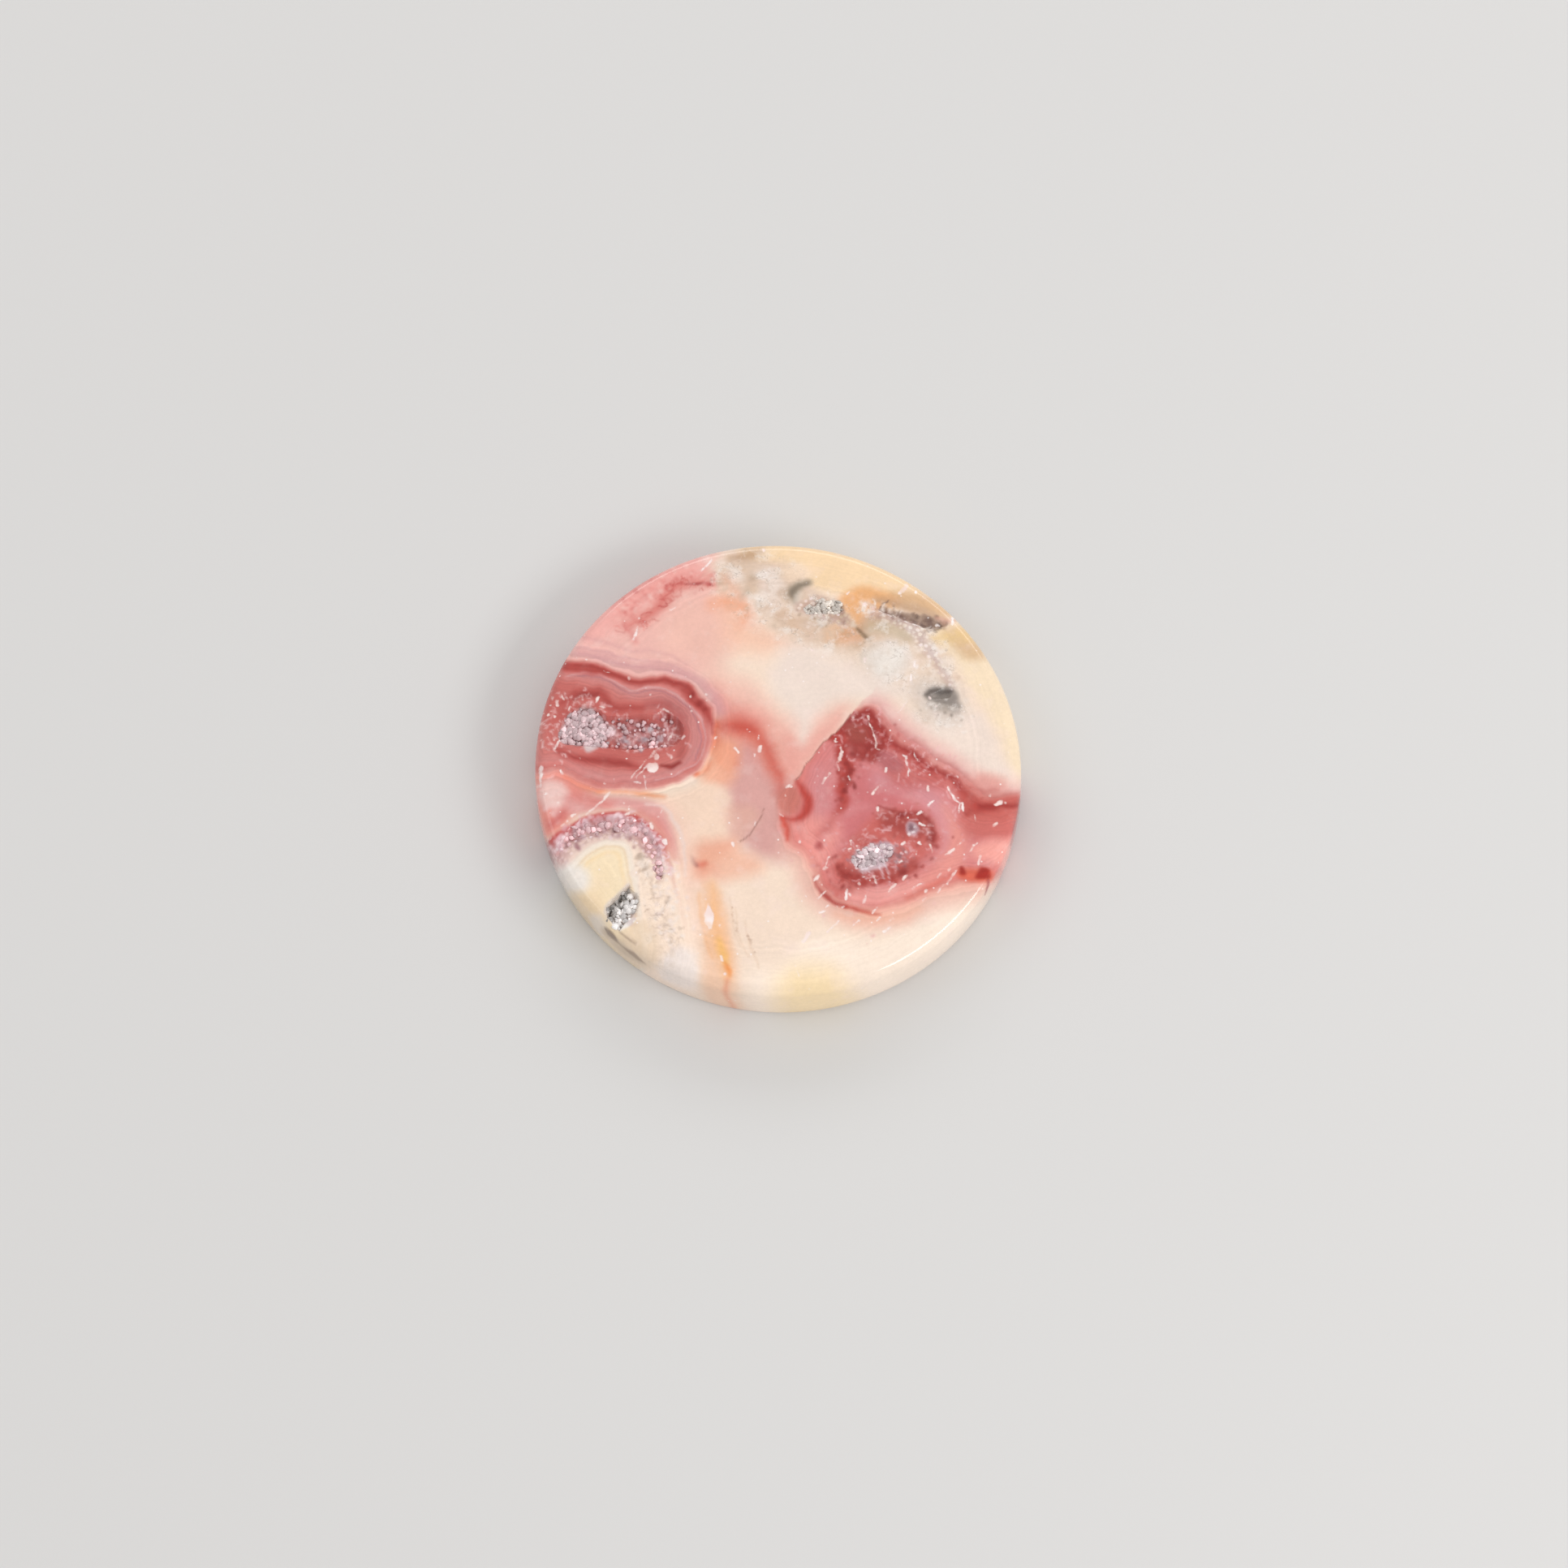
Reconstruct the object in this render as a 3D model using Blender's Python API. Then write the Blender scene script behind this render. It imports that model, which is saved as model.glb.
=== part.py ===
"""A round crazy lace agate cabochon: one polished stone with a flat back, upright sides, a rounded
shoulder and a low domed face, broken by small open pockets that are lined with quartz crystals.

The stone lies on its flat back. +Z is up through the face, and -Y is the edge nearest the viewer.
Everything below is in millimetres until an object is made, which is in metres.
"""
import math
import random

import bmesh
import bpy

MM = 0.001

# The stone
RADIUS = 15.0
OUT_OF_ROUND = 0.1
LONG_WAY_DEG = -50.0
THICKNESS = 4.1
BACK_BEVEL = 0.25
SIDE_BULGE = 0.06
SHOULDER_WIDTH = 0.55
SHOULDER_HEIGHT = 0.5
DOME_RISE = 0.45
DOME_POWER = 2.4
SEGMENTS = 96
SHOULDER_STEPS = 5
DOME_RING_SHARES = (0.95, 0.82, 0.62, 0.36)

# The open pockets in the face. Each is a chain of circles, (x, y, radius), joined by straight sides.
POCKETS = {
    "left_eye": {
        "chain": [(-12.1, 2.3, 1.3), (-9.6, 1.9, 1.15), (-6.9, 1.9, 1.2)],
        "depth": 0.45,
        "crystal": 0.5,
    },
    "right_eye": {
        "chain": [(5.0, -6.3, 1.0), (6.6, -5.9, 1.2), (8.4, -4.8, 1.0)],
        "depth": 0.4,
        "crystal": 0.45,
    },
    "angular_vug": {
        "chain": [(-9.3, -8.6, 0.45), (-9.5, -9.4, 0.9), (-9.7, -10.0, 0.55)],
        "depth": 1.1,
        "crystal": 0.45,
    },
    "silver_vug": {
        "chain": [(1.5, 10.45, 0.5), (2.6, 10.6, 0.8), (3.8, 10.1, 0.5)],
        "depth": 0.3,
        "crystal": 0.4,
    },
    "brown_cleft": {
        "chain": [(6.9, 10.2, 0.35), (9.1, 9.5, 0.45), (11.0, 9.0, 0.3)],
        "depth": 0.3,
        "crystal": 0.4,
    },
    "grey_dish": {
        "chain": [(9.75, 4.3, 0.45), (10.4, 4.5, 0.6)],
        "depth": 0.25,
        "crystal": 0.6,
    },
    "arch_crust": {
        "chain": [
            (-13.0, -5.9, 0.6),
            (-12.3, -4.7, 0.7),
            (-10.5, -3.9, 0.7),
            (-8.6, -4.2, 0.7),
            (-7.2, -5.6, 0.6),
            (-6.3, -7.6, 0.5),
            (-5.6, -10.1, 0.4),
        ],
        "depth": 0.25,
        "crystal": 0.5,
    },
}
CRYSTAL_HEIGHT_SHARE = (0.25, 0.7)
CRYSTAL_SHIFT_SHARE = 0.16
WALL_WIDTH = 0.35
CUTTER_MARGIN = 0.8
CUTTER_CLEARANCE = 0.4
CUTTER_TOP = THICKNESS + 1.0
CRYSTAL_SEED = 7

STONE_COLOUR = (0.83, 0.55, 0.46, 1.0)
STONE_ROUGHNESS = 0.12


def clear_scene():
    for obj in list(bpy.data.objects):
        bpy.data.objects.remove(obj)


def rim_radius(angle):
    """The stone's radius at its widest, a hair longer along one diagonal, as a hand-ground outline is."""
    return RADIUS + OUT_OF_ROUND * math.cos(2.0 * (angle - math.radians(LONG_WAY_DEG)))


def face_height(x, y):
    """The height of the domed face, inside the shoulder."""
    share = math.hypot(x, y) / (RADIUS - SHOULDER_WIDTH)
    return THICKNESS - DOME_RISE * share**DOME_POWER


def profile():
    """The turned outline from the back to the face, as (how far inside the rim, height)."""
    shoulder_foot = THICKNESS - DOME_RISE - SHOULDER_HEIGHT
    points = [
        (BACK_BEVEL + SIDE_BULGE, 0.0),
        (SIDE_BULGE, BACK_BEVEL),
        (0.0, 0.5 * (BACK_BEVEL + shoulder_foot)),
    ]
    for step in range(SHOULDER_STEPS + 1):
        turn = 0.5 * math.pi * step / SHOULDER_STEPS
        inset = SIDE_BULGE + (SHOULDER_WIDTH - SIDE_BULGE) * (1.0 - math.cos(turn))
        points.append((inset, shoulder_foot + SHOULDER_HEIGHT * math.sin(turn)))
    for share in DOME_RING_SHARES:
        radius = share * (RADIUS - SHOULDER_WIDTH)
        points.append((RADIUS - radius, face_height(radius, 0.0)))
    return points


def stone_mesh():
    """Rings of points on the profile, joined by faces, with a flat back and a fan at the crown."""
    bm = bmesh.new()
    angles = [2.0 * math.pi * i / SEGMENTS for i in range(SEGMENTS)]
    rings = []
    for inset, height in profile():
        fade = (RADIUS - inset) / RADIUS
        radii = [(rim_radius(a) - RADIUS) * fade + RADIUS - inset for a in angles]
        rings.append(
            [
                bm.verts.new((r * math.cos(a) * MM, r * math.sin(a) * MM, height * MM))
                for r, a in zip(radii, angles)
            ]
        )
    bm.faces.new(list(reversed(rings[0])))
    for low, high in zip(rings, rings[1:]):
        for i in range(SEGMENTS):
            j = (i + 1) % SEGMENTS
            bm.faces.new((low[i], low[j], high[j], high[i]))
    crown = bm.verts.new((0.0, 0.0, THICKNESS * MM))
    for i in range(SEGMENTS):
        bm.faces.new((rings[-1][i], rings[-1][(i + 1) % SEGMENTS], crown))
    bmesh.ops.triangulate(bm, faces=[f for f in bm.faces if len(f.verts) == 4])
    mesh = bpy.data.meshes.new("cabochon")
    bm.to_mesh(mesh)
    bm.free()
    return mesh


def inside_chain(x, y, chain):
    """How far a point is inside a chain of circles, in millimetres; negative outside."""
    best = -math.inf
    for (x0, y0, r0), (x1, y1, r1) in zip(chain, chain[1:]):
        along = ((x - x0) * (x1 - x0) + (y - y0) * (y1 - y0)) / ((x1 - x0) ** 2 + (y1 - y0) ** 2)
        along = min(1.0, max(0.0, along))
        gap = math.hypot(x - x0 - along * (x1 - x0), y - y0 - along * (y1 - y0))
        best = max(best, r0 + along * (r1 - r0) - gap)
    return best


def pocket_floor_height(x, y, chain, depth):
    """The pocket's floor inside the chain, curving up through the face at the chain's edge."""
    inside = inside_chain(x, y, chain)
    if inside < 0.0:
        return face_height(x, y) + min(-inside, CUTTER_CLEARANCE)
    sunk = min(1.0, inside / WALL_WIDTH)
    return face_height(x, y) - depth * sunk * (2.0 - sunk)


def pocket_cutter(name, chain, depth, crystal):
    """A closed block whose underside is the pocket's floor: six-sided quartz points, side by side."""
    rng = random.Random(f"{name} {CRYSTAL_SEED}")
    low_x = min(x - r for x, y, r in chain) - CUTTER_MARGIN
    high_x = max(x + r for x, y, r in chain) + CUTTER_MARGIN
    low_y = min(y - r for x, y, r in chain) - CUTTER_MARGIN
    high_y = max(y + r for x, y, r in chain) + CUTTER_MARGIN
    half_step = crystal / 2.0
    row_step = crystal * math.sqrt(3.0) / 2.0
    bm = bmesh.new()
    corners = {}

    def corner(x, y):
        key = (round((x - low_x) / half_step), round((y - low_y) / row_step * 3.0))
        if key not in corners:
            sx = x + rng.uniform(-1.0, 1.0) * CRYSTAL_SHIFT_SHARE * crystal
            sy = y + rng.uniform(-1.0, 1.0) * CRYSTAL_SHIFT_SHARE * crystal
            height = pocket_floor_height(sx, sy, chain, depth)
            corners[key] = bm.verts.new((sx * MM, sy * MM, height * MM))
        return corners[key]

    for row in range(math.ceil((high_y - low_y) / row_step)):
        for column in range(math.ceil((high_x - low_x) / crystal)):
            x = low_x + (column + 0.5 * (row % 2)) * crystal
            y = low_y + row * row_step
            reach = crystal / math.sqrt(3.0)
            ring = [
                corner(x + reach * math.cos(a), y + reach * math.sin(a))
                for a in (math.radians(30.0 + 60.0 * i) for i in range(6))
            ]
            floor = pocket_floor_height(x, y, chain, depth)
            if inside_chain(x, y, chain) > 0.0:
                floor += depth * rng.uniform(*CRYSTAL_HEIGHT_SHARE)
            tip = bm.verts.new((x * MM, y * MM, floor * MM))
            for first, second in zip(ring, ring[1:] + ring[:1]):
                bm.faces.new((second, first, tip))
    lifted = bmesh.ops.extrude_face_region(bm, geom=list(bm.faces), use_keep_orig=True)
    for vert in (v for v in lifted["geom"] if isinstance(v, bmesh.types.BMVert)):
        vert.co.z = CUTTER_TOP * MM
    bmesh.ops.recalc_face_normals(bm, faces=list(bm.faces))
    mesh = bpy.data.meshes.new(name)
    bm.to_mesh(mesh)
    bm.free()
    cutter = bpy.data.objects.new(name, mesh)
    cutter.hide_render = True
    cutter.display_type = "WIRE"
    bpy.context.scene.collection.objects.link(cutter)
    return cutter


def agate_material():
    material = bpy.data.materials.new("polished_agate")
    material.use_nodes = True
    shader = material.node_tree.nodes["Principled BSDF"]
    shader.inputs["Base Color"].default_value = STONE_COLOUR
    shader.inputs["Roughness"].default_value = STONE_ROUGHNESS
    shader.inputs["Metallic"].default_value = 0.0
    return material


def build():
    clear_scene()
    stone = bpy.data.objects.new("cabochon", stone_mesh())
    bpy.context.scene.collection.objects.link(stone)
    stone.data.materials.append(agate_material())
    stone.data.shade_smooth()
    stone.data.set_sharp_from_angle(angle=math.radians(35.0))
    for name, pocket in POCKETS.items():
        cut = stone.modifiers.new(name, "BOOLEAN")
        cut.operation = "DIFFERENCE"
        cut.solver = "EXACT"
        cut.object = pocket_cutter(name + "_cutter", **pocket)


build()
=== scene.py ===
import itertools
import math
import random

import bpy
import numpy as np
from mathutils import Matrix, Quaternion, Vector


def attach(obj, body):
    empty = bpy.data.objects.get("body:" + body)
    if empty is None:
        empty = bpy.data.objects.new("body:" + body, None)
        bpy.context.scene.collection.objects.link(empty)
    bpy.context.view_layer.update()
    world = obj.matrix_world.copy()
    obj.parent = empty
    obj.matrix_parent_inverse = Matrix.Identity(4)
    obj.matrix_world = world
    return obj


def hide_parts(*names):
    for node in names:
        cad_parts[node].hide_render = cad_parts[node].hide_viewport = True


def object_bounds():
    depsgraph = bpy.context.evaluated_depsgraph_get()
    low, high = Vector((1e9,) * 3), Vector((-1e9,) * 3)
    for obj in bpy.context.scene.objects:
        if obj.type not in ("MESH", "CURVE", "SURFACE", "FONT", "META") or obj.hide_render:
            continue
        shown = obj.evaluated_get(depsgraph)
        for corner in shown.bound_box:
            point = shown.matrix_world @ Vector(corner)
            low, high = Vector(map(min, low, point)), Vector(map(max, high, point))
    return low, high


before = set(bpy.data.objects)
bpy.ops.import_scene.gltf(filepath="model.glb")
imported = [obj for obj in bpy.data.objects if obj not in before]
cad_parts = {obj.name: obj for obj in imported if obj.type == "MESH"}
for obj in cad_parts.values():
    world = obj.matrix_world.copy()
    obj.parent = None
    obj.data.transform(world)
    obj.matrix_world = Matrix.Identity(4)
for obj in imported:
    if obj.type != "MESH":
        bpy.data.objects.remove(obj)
cad_low, cad_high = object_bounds()

# A round crazy lace agate cabochon, seen in its final finish: a polished stone with a lace of salmon,
# deep red, mauve and cream bands, and small pockets lined with quartz crystals.
#
# Lengths are in millimetres until a mesh is made. The markings are drawn on the face's own plan, with
# +X to the right and +Y away from the viewer, and they run down through the stone at a slant.

MM = 0.001

# The stone's size, from the frame, and its edge profile
THICKNESS = (cad_high[2] - cad_low[2]) / MM
RADIUS = 0.25 * (cad_high[0] - cad_low[0] + cad_high[1] - cad_low[1]) / MM
OUT_OF_ROUND = 0.1
LONG_WAY = math.radians(-50.0)
BACK_BEVEL = 0.25
SIDE_BULGE = 0.06
SHOULDER_WIDTH = 0.75
SHOULDER_HEIGHT = 0.75
DOME_RISE = 0.45
DOME_POWER = 2.4
FACE_RADIUS = RADIUS - SHOULDER_WIDTH

# How finely the stone's mesh is divided
FACE_RINGS = 155
SHOULDER_STEPS = 8
SIDE_STEPS = 14
BACK_COARSENESS = 5

# The open pockets, as chains of circles (x, y, radius), with their depth
POCKETS = {
    "left_eye": (0.42, [
        (-12.8, 1.9, 0.75), (-11.9, 2.4, 1.4), (-10.8, 2.0, 1.05), (-9.4, 1.9, 1.15), (-6.9, 2.0, 1.1),
    ]),
    "right_eye": (0.16, [(5.1, -6.3, 0.75), (6.4, -6.0, 0.65)]),
    "right_eye_hole": (0.12, [(8.1, -4.4, 0.3), (8.2, -4.4, 0.3)]),
    "silver_vug": (0.28, [(1.9, 10.2, 0.35), (2.8, 10.5, 0.6), (3.6, 10.4, 0.5)]),
    "brown_cleft": (0.22, [(5.6, 10.5, 0.2), (7.4, 9.9, 0.2), (9.2, 9.4, 0.45), (10.4, 9.3, 0.2)]),
    "grey_dish": (0.22, [(9.6, 4.4, 0.25), (10.3, 4.6, 0.4)]),
    "arch_crust": (0.2, [
        (-13.0, -5.4, 0.3), (-12.3, -4.6, 0.5), (-10.5, -4.1, 0.55), (-8.6, -4.3, 0.5), (-7.6, -5.6, 0.4),
        (-7.2, -7.4, 0.35),
    ]),
}
POCKET_WALL = 0.3
VUG_OUTLINE = [
    (-9.0, -7.95), (-9.6, -8.5), (-10.05, -8.95), (-10.4, -9.45), (-10.35, -9.95), (-10.0, -10.45),
    (-9.55, -10.9), (-9.2, -10.45), (-8.8, -10.1), (-8.5, -9.7), (-8.35, -9.1), (-8.5, -8.6), (-8.85, -8.4),
]
VUG_DEPTH = 0.8
VUG_WALL = 0.16

# The power that the painted light is raised to, which makes up for the polish's pale reflection
DEEPEN = 1.27

# How the pattern runs down through the stone
PLAN_HEIGHT = 3.65
SLANT = 0.404
DEEP_WANDER = 0.9
DEEP_LUMP = 4.0
DEEP_SEED = 11

# How the pattern wanders everywhere: amount, size of the lumps, seed
WANDER = [(0.11, 1.3, 21), (0.06, 0.5, 31), (0.03, 0.25, 41)]

# The rough floors of the pockets: amount, size of the lumps, seed, and the depth that is fully rough
POCKET_LUMPS = [(0.05, 0.3, 5), (0.03, 0.15, 6)]
ROUGH_FROM = 0.15

# Colours as seen, in red, green and blue from 0 to 255
CREAM = (248, 229, 213)
IVORY = (253, 238, 224)
WHITE_CREAM = (242, 228, 219)
YELLOW_CREAM = (250, 224, 190)
ORANGE = (244, 190, 138)
PALE_PINK = (240, 188, 183)
BLOOD_RED = (160, 48, 42)
GREY_QUARTZ = (238, 220, 205)
BEIGE = (228, 205, 186)
SUGAR_WHITE = (246, 226, 230)
# The white of the painted glints, and of the chips' own bright flecks
GLINT_AND_CHIP_WHITE = (255, 244, 242)
MILK = (250, 226, 220)
FROST_LIGHT = (243, 235, 229)
FROST_DARK = (214, 190, 170)
FROST_PIT = (150, 132, 118)
SUGAR_GAP = (162, 110, 112)
CRACK_BROWN = (150, 104, 94)


def linear(colour):
    """A seen colour as linear light, which is what shaders and colour attributes hold."""
    share = np.asarray(colour, float) / 255.0
    return np.where(share <= 0.04045, share / 12.92, ((share + 0.055) / 1.055) ** 2.4)


# Broad soft areas, from the bottom of the paint to the top:
# name, colour, strength, softness of the edge, outline
AREAS = [
    ("pink upper left", (242, 198, 190), 1.0, 2.6, [
        (-14.5, 6), (-12.5, 10.5), (-8, 14.5), (-4.5, 15), (-3.9, 12.5), (-3.4, 9.5), (-3.8, 6.8),
        (-5.4, 5), (-9, 4.5),
    ]),
    ("pink of the upper left rim", (246, 190, 184), 0.9, 2.2, [
        (-15, 8), (-12.6, 7.6), (-10.4, 8.6), (-9.0, 10.0), (-7.0, 11.8), (-4.4, 13.4), (-5, 15.5),
        (-9, 14.5), (-13.5, 10.5),
    ]),
    ("peach heart of the upper left", (246, 206, 192), 0.7, 2.4, [
        (-7.3, 7.6), (-7, 9.5), (-5.5, 11.0), (-3.9, 10.8), (-2.9, 9.4), (-2.9, 7.4), (-4.2, 6.4),
        (-5.8, 6.8),
    ]),
    ("peach between the pink and the quartz", (247, 198, 174), 0.6, 2.0, [
        (-3.6, 10.8), (-1.8, 10.2), (-0.6, 8.8), (1.0, 8.2), (1.8, 7.5), (0.2, 7.3), (-1.4, 7.2),
        (-3.2, 7.8),
    ]),
    ("pink over the middle", (244, 200, 188), 0.85, 2.0, [
        (-4.4, 6.0), (-2.4, 5.6), (-0.6, 4.2), (0.8, 3.2), (2.6, 3.4), (3.8, 4.0), (4.6, 3.4), (2.8, 1.0),
        (1.0, -1.4), (-1, 1.4), (-3.6, 3.2),
    ]),
    ("salmon hood", (240, 172, 164), 0.4, 1.3, [
        (-9.9, 9.0), (-8.2, 9.2), (-7.0, 10.3), (-6.4, 11.4), (-5.4, 11.8), (-3.9, 11.8), (-3.5, 12.4),
        (-4.5, 12.9), (-6.0, 12.8), (-7.6, 12.3), (-9.0, 11.2), (-10.3, 10.2),
    ]),
    ("grey quartz", GREY_QUARTZ, 0.9, 1.3, [
        (-4, 13.6), (-1.5, 13.6), (0.5, 12.8), (2, 11), (6, 9.8), (9, 9), (10.2, 7.5), (11, 5.4),
        (11.6, 3.2), (9.8, 2.4), (7.8, 4.0), (5.4, 5.2), (2.5, 7.4), (0, 8.6), (-2, 10.4), (-3.8, 12),
    ]),
    ("tan along the quartz", BEIGE, 0.8, 1.2, [
        (-3.5, 12.5), (-2, 14), (0, 14), (1.5, 12.6), (3.8, 10), (5.4, 8.8), (5.2, 7.4), (2.6, 7.8),
        (0.8, 8.6), (1, 10), (0, 11.4), (-2, 11.6),
    ]),
    ("white patch by the notch", WHITE_CREAM, 0.8, 0.8, [
        (-1.6, 12.8), (-0.4, 13.2), (0.3, 12), (0.3, 10.5), (-0.4, 9.6), (-1.2, 10.6), (-1.1, 11.8),
    ]),
    ("yellow along the top rim", YELLOW_CREAM, 1.0, 0.9, [
        (-2.2, 14.0), (1.2, 13.4), (2, 12), (4, 11.2), (6.8, 10.6), (9, 10.2), (10.9, 9.9), (12, 12),
        (6, 16), (0, 16.5), (-2.5, 15.2),
    ]),
    ("orange under the top rim", ORANGE, 0.75, 0.9, [
        (3.7, 10.5), (4.1, 11.3), (5.5, 11.6), (7.6, 10.9), (7, 10.3), (5.4, 10.1), (4.4, 10.0),
    ]),
    ("orange below the vug", ORANGE, 0.4, 0.8, [
        (2.8, 8.6), (3.6, 9.3), (5.0, 9.2), (5.3, 8.4), (4.4, 7.9), (3.2, 7.9),
    ]),
    ("yellow right rim", (248, 230, 204), 0.9, 1.0, [
        (9.9, 8.5), (11.8, 9.6), (14.5, 6.4), (16, 2), (15.6, -0.8), (14.4, -0.6), (13.6, 1.6), (12.7, 3.8),
        (11.6, 5.2), (11.0, 6.8),
    ]),
    ("white heart", WHITE_CREAM, 0.9, 1.6, [
        (1, 8), (4, 6.6), (7, 5.6), (8, 4.4), (6.2, 4.1), (4, 4), (2.4, 3), (1.6, 1), (0.8, 3), (-0.5, 5.5),
    ]),
    ("milky cell", WHITE_CREAM, 0.7, 1.0, [
        (5.7, 6.6), (6.0, 7.6), (7.0, 8.0), (8.0, 7.6), (8.2, 6.6), (7.4, 5.7), (6.3, 5.7),
    ]),
    ("cool field right of the red lobe", WHITE_CREAM, 0.8, 1.2, [
        (7.8, 3.6), (9.4, 2.8), (11.4, 3.2), (12.6, 3.2), (13.6, 0.8), (14.2, -1.0), (12.2, -0.6),
        (10.2, 0.9), (8.6, 2.2),
    ]),
    ("ivory lower right", IVORY, 1.0, 1.5, [
        (9.5, -9.4), (13, -8.8), (15, -6), (17, -8), (13, -14), (6, -18), (-1, -18), (-1.5, -12.5),
        (2, -11.2), (6, -11.4),
    ]),
    ("yellow at the lower edge", (249, 224, 170), 0.6, 2.6, [
        (0.4, -13.6), (2.4, -13.2), (3.8, -13.8), (4.6, -16.5), (0.0, -17),
    ]),
    ("cream of the lower middle", CREAM, 0.8, 1.6, [
        (-2.5, -6.6), (0.8, -6.6), (1.6, -8.6), (2, -11), (-0.5, -13.5), (-2.5, -12), (-3.2, -9),
    ]),
    ("pink of the left rim", (238, 158, 148), 0.9, 1.1, [
        (-14.2, 6.2), (-12.8, 4.6), (-13.4, 2.6), (-13.6, 0.4), (-12.2, -1.0), (-11.2, -2.4), (-12.4, -3.4),
        (-13.6, -4.8), (-16, -5), (-16.5, 0), (-15.8, 5),
    ]),
    ("white mottles of the left rim", PALE_PINK, 0.8, 0.6, [
        (-14.4, -1.0), (-13.4, -1.2), (-12.6, -2.2), (-13.0, -3.2), (-14.2, -3.0), (-15, -2),
    ]),
]


def smooth_line(points, closed=False, steps=6):
    """A round curve through given points, as more points. Each may hold a radius or a height too."""
    points = [np.asarray(p, float) for p in points]
    if closed:
        spans = len(points)
        ahead = [points[(i + k) % spans] for i in range(spans) for k in (-1, 0, 1, 2)]
    else:
        spans = len(points) - 1
        padded = [2 * points[0] - points[1], *points, 2 * points[-1] - points[-2]]
        ahead = [padded[i + k] for i in range(spans) for k in range(4)]
    line = []
    for i in range(spans):
        a, b, c, d = ahead[4 * i : 4 * i + 4]
        for t in (s / steps for s in range(steps)):
            line.append(0.5 * (2 * b + (c - a) * t + (2 * a - 5 * b + 4 * c - d) * t**2
                               + (3 * b - a - 3 * c + d) * t**3))
    return np.array(line if closed else [*line, points[-1]])


def lattice_noise(points, cell, seed):
    """Smooth noise between -1 and 1 at points in space, with lumps about one cell across."""
    grid = points / cell
    corner = np.floor(grid).astype(np.int64)
    part = grid - corner
    ease = part * part * (3.0 - 2.0 * part)
    total = np.zeros(len(points))
    for step in itertools.product((0, 1), repeat=3):
        x, y, z = (corner + step).T
        mixed = x * 374761393 + y * 668265263 + z * 1442695041 + seed * 1274126177
        mixed = (mixed ^ (mixed >> 13)) * 1103515245
        value = ((mixed ^ (mixed >> 16)) & 0xFFFF) / 32767.5 - 1.0
        total += value * np.where(step, ease, 1.0 - ease).prod(axis=1)
    return total


def depth_in_chain(plan, chain):
    """How far plan points are inside a chain of circles; negative outside."""
    best = np.full(len(plan), -np.inf)
    for (x0, y0, r0), (x1, y1, r1) in zip(chain, chain[1:]):
        run = np.array((x1 - x0, y1 - y0))
        away = plan - (x0, y0)
        along = np.clip(away @ run / max(run @ run, 1e-9), 0.0, 1.0)
        gap = np.hypot(away[:, 0] - along * run[0], away[:, 1] - along * run[1])
        best = np.maximum(best, r0 + along * (r1 - r0) - gap)
    return best


def depth_in_outline(plan, outline):
    """How far plan points are inside a closed outline; negative outside."""
    gap = np.full(len(plan), np.inf)
    inside = np.zeros(len(plan), bool)
    x, y = plan.T
    for (x0, y0), (x1, y1) in zip(outline, np.roll(outline, -1, axis=0)):
        run = np.array((x1 - x0, y1 - y0))
        away = plan - (x0, y0)
        along = np.clip(away @ run / max(run @ run, 1e-9), 0.0, 1.0)
        gap = np.minimum(gap, np.hypot(away[:, 0] - along * run[0], away[:, 1] - along * run[1]))
        if y0 != y1:
            crosses = (y0 > y) != (y1 > y)
            inside ^= crosses & (x < x0 + (y - y0) * (x1 - x0) / (y1 - y0))
    return np.where(inside, gap, -gap)


def fade(depth, softness):
    """A share from 0 to 1 that rises smoothly over the softness, half of it on each side of the edge."""
    share = np.clip(depth / softness + 0.5, 0.0, 1.0)
    return share * share * (3.0 - 2.0 * share)


def left_of(plan, line):
    """How far plan points lie to the left of a line, looking along it; negative on its right."""
    best = np.full(len(plan), np.inf)
    side = np.zeros(len(plan))
    for start, end in zip(np.array(line), np.array(line[1:])):
        run = (end - start) / np.linalg.norm(end - start)
        away = plan - start
        gap = np.linalg.norm(plan - 0.5 * (start + end), axis=1)
        across = run[0] * away[:, 1] - run[1] * away[:, 0]
        side = np.where(gap < best, across, side)
        best = np.minimum(best, gap)
    return side


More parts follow.
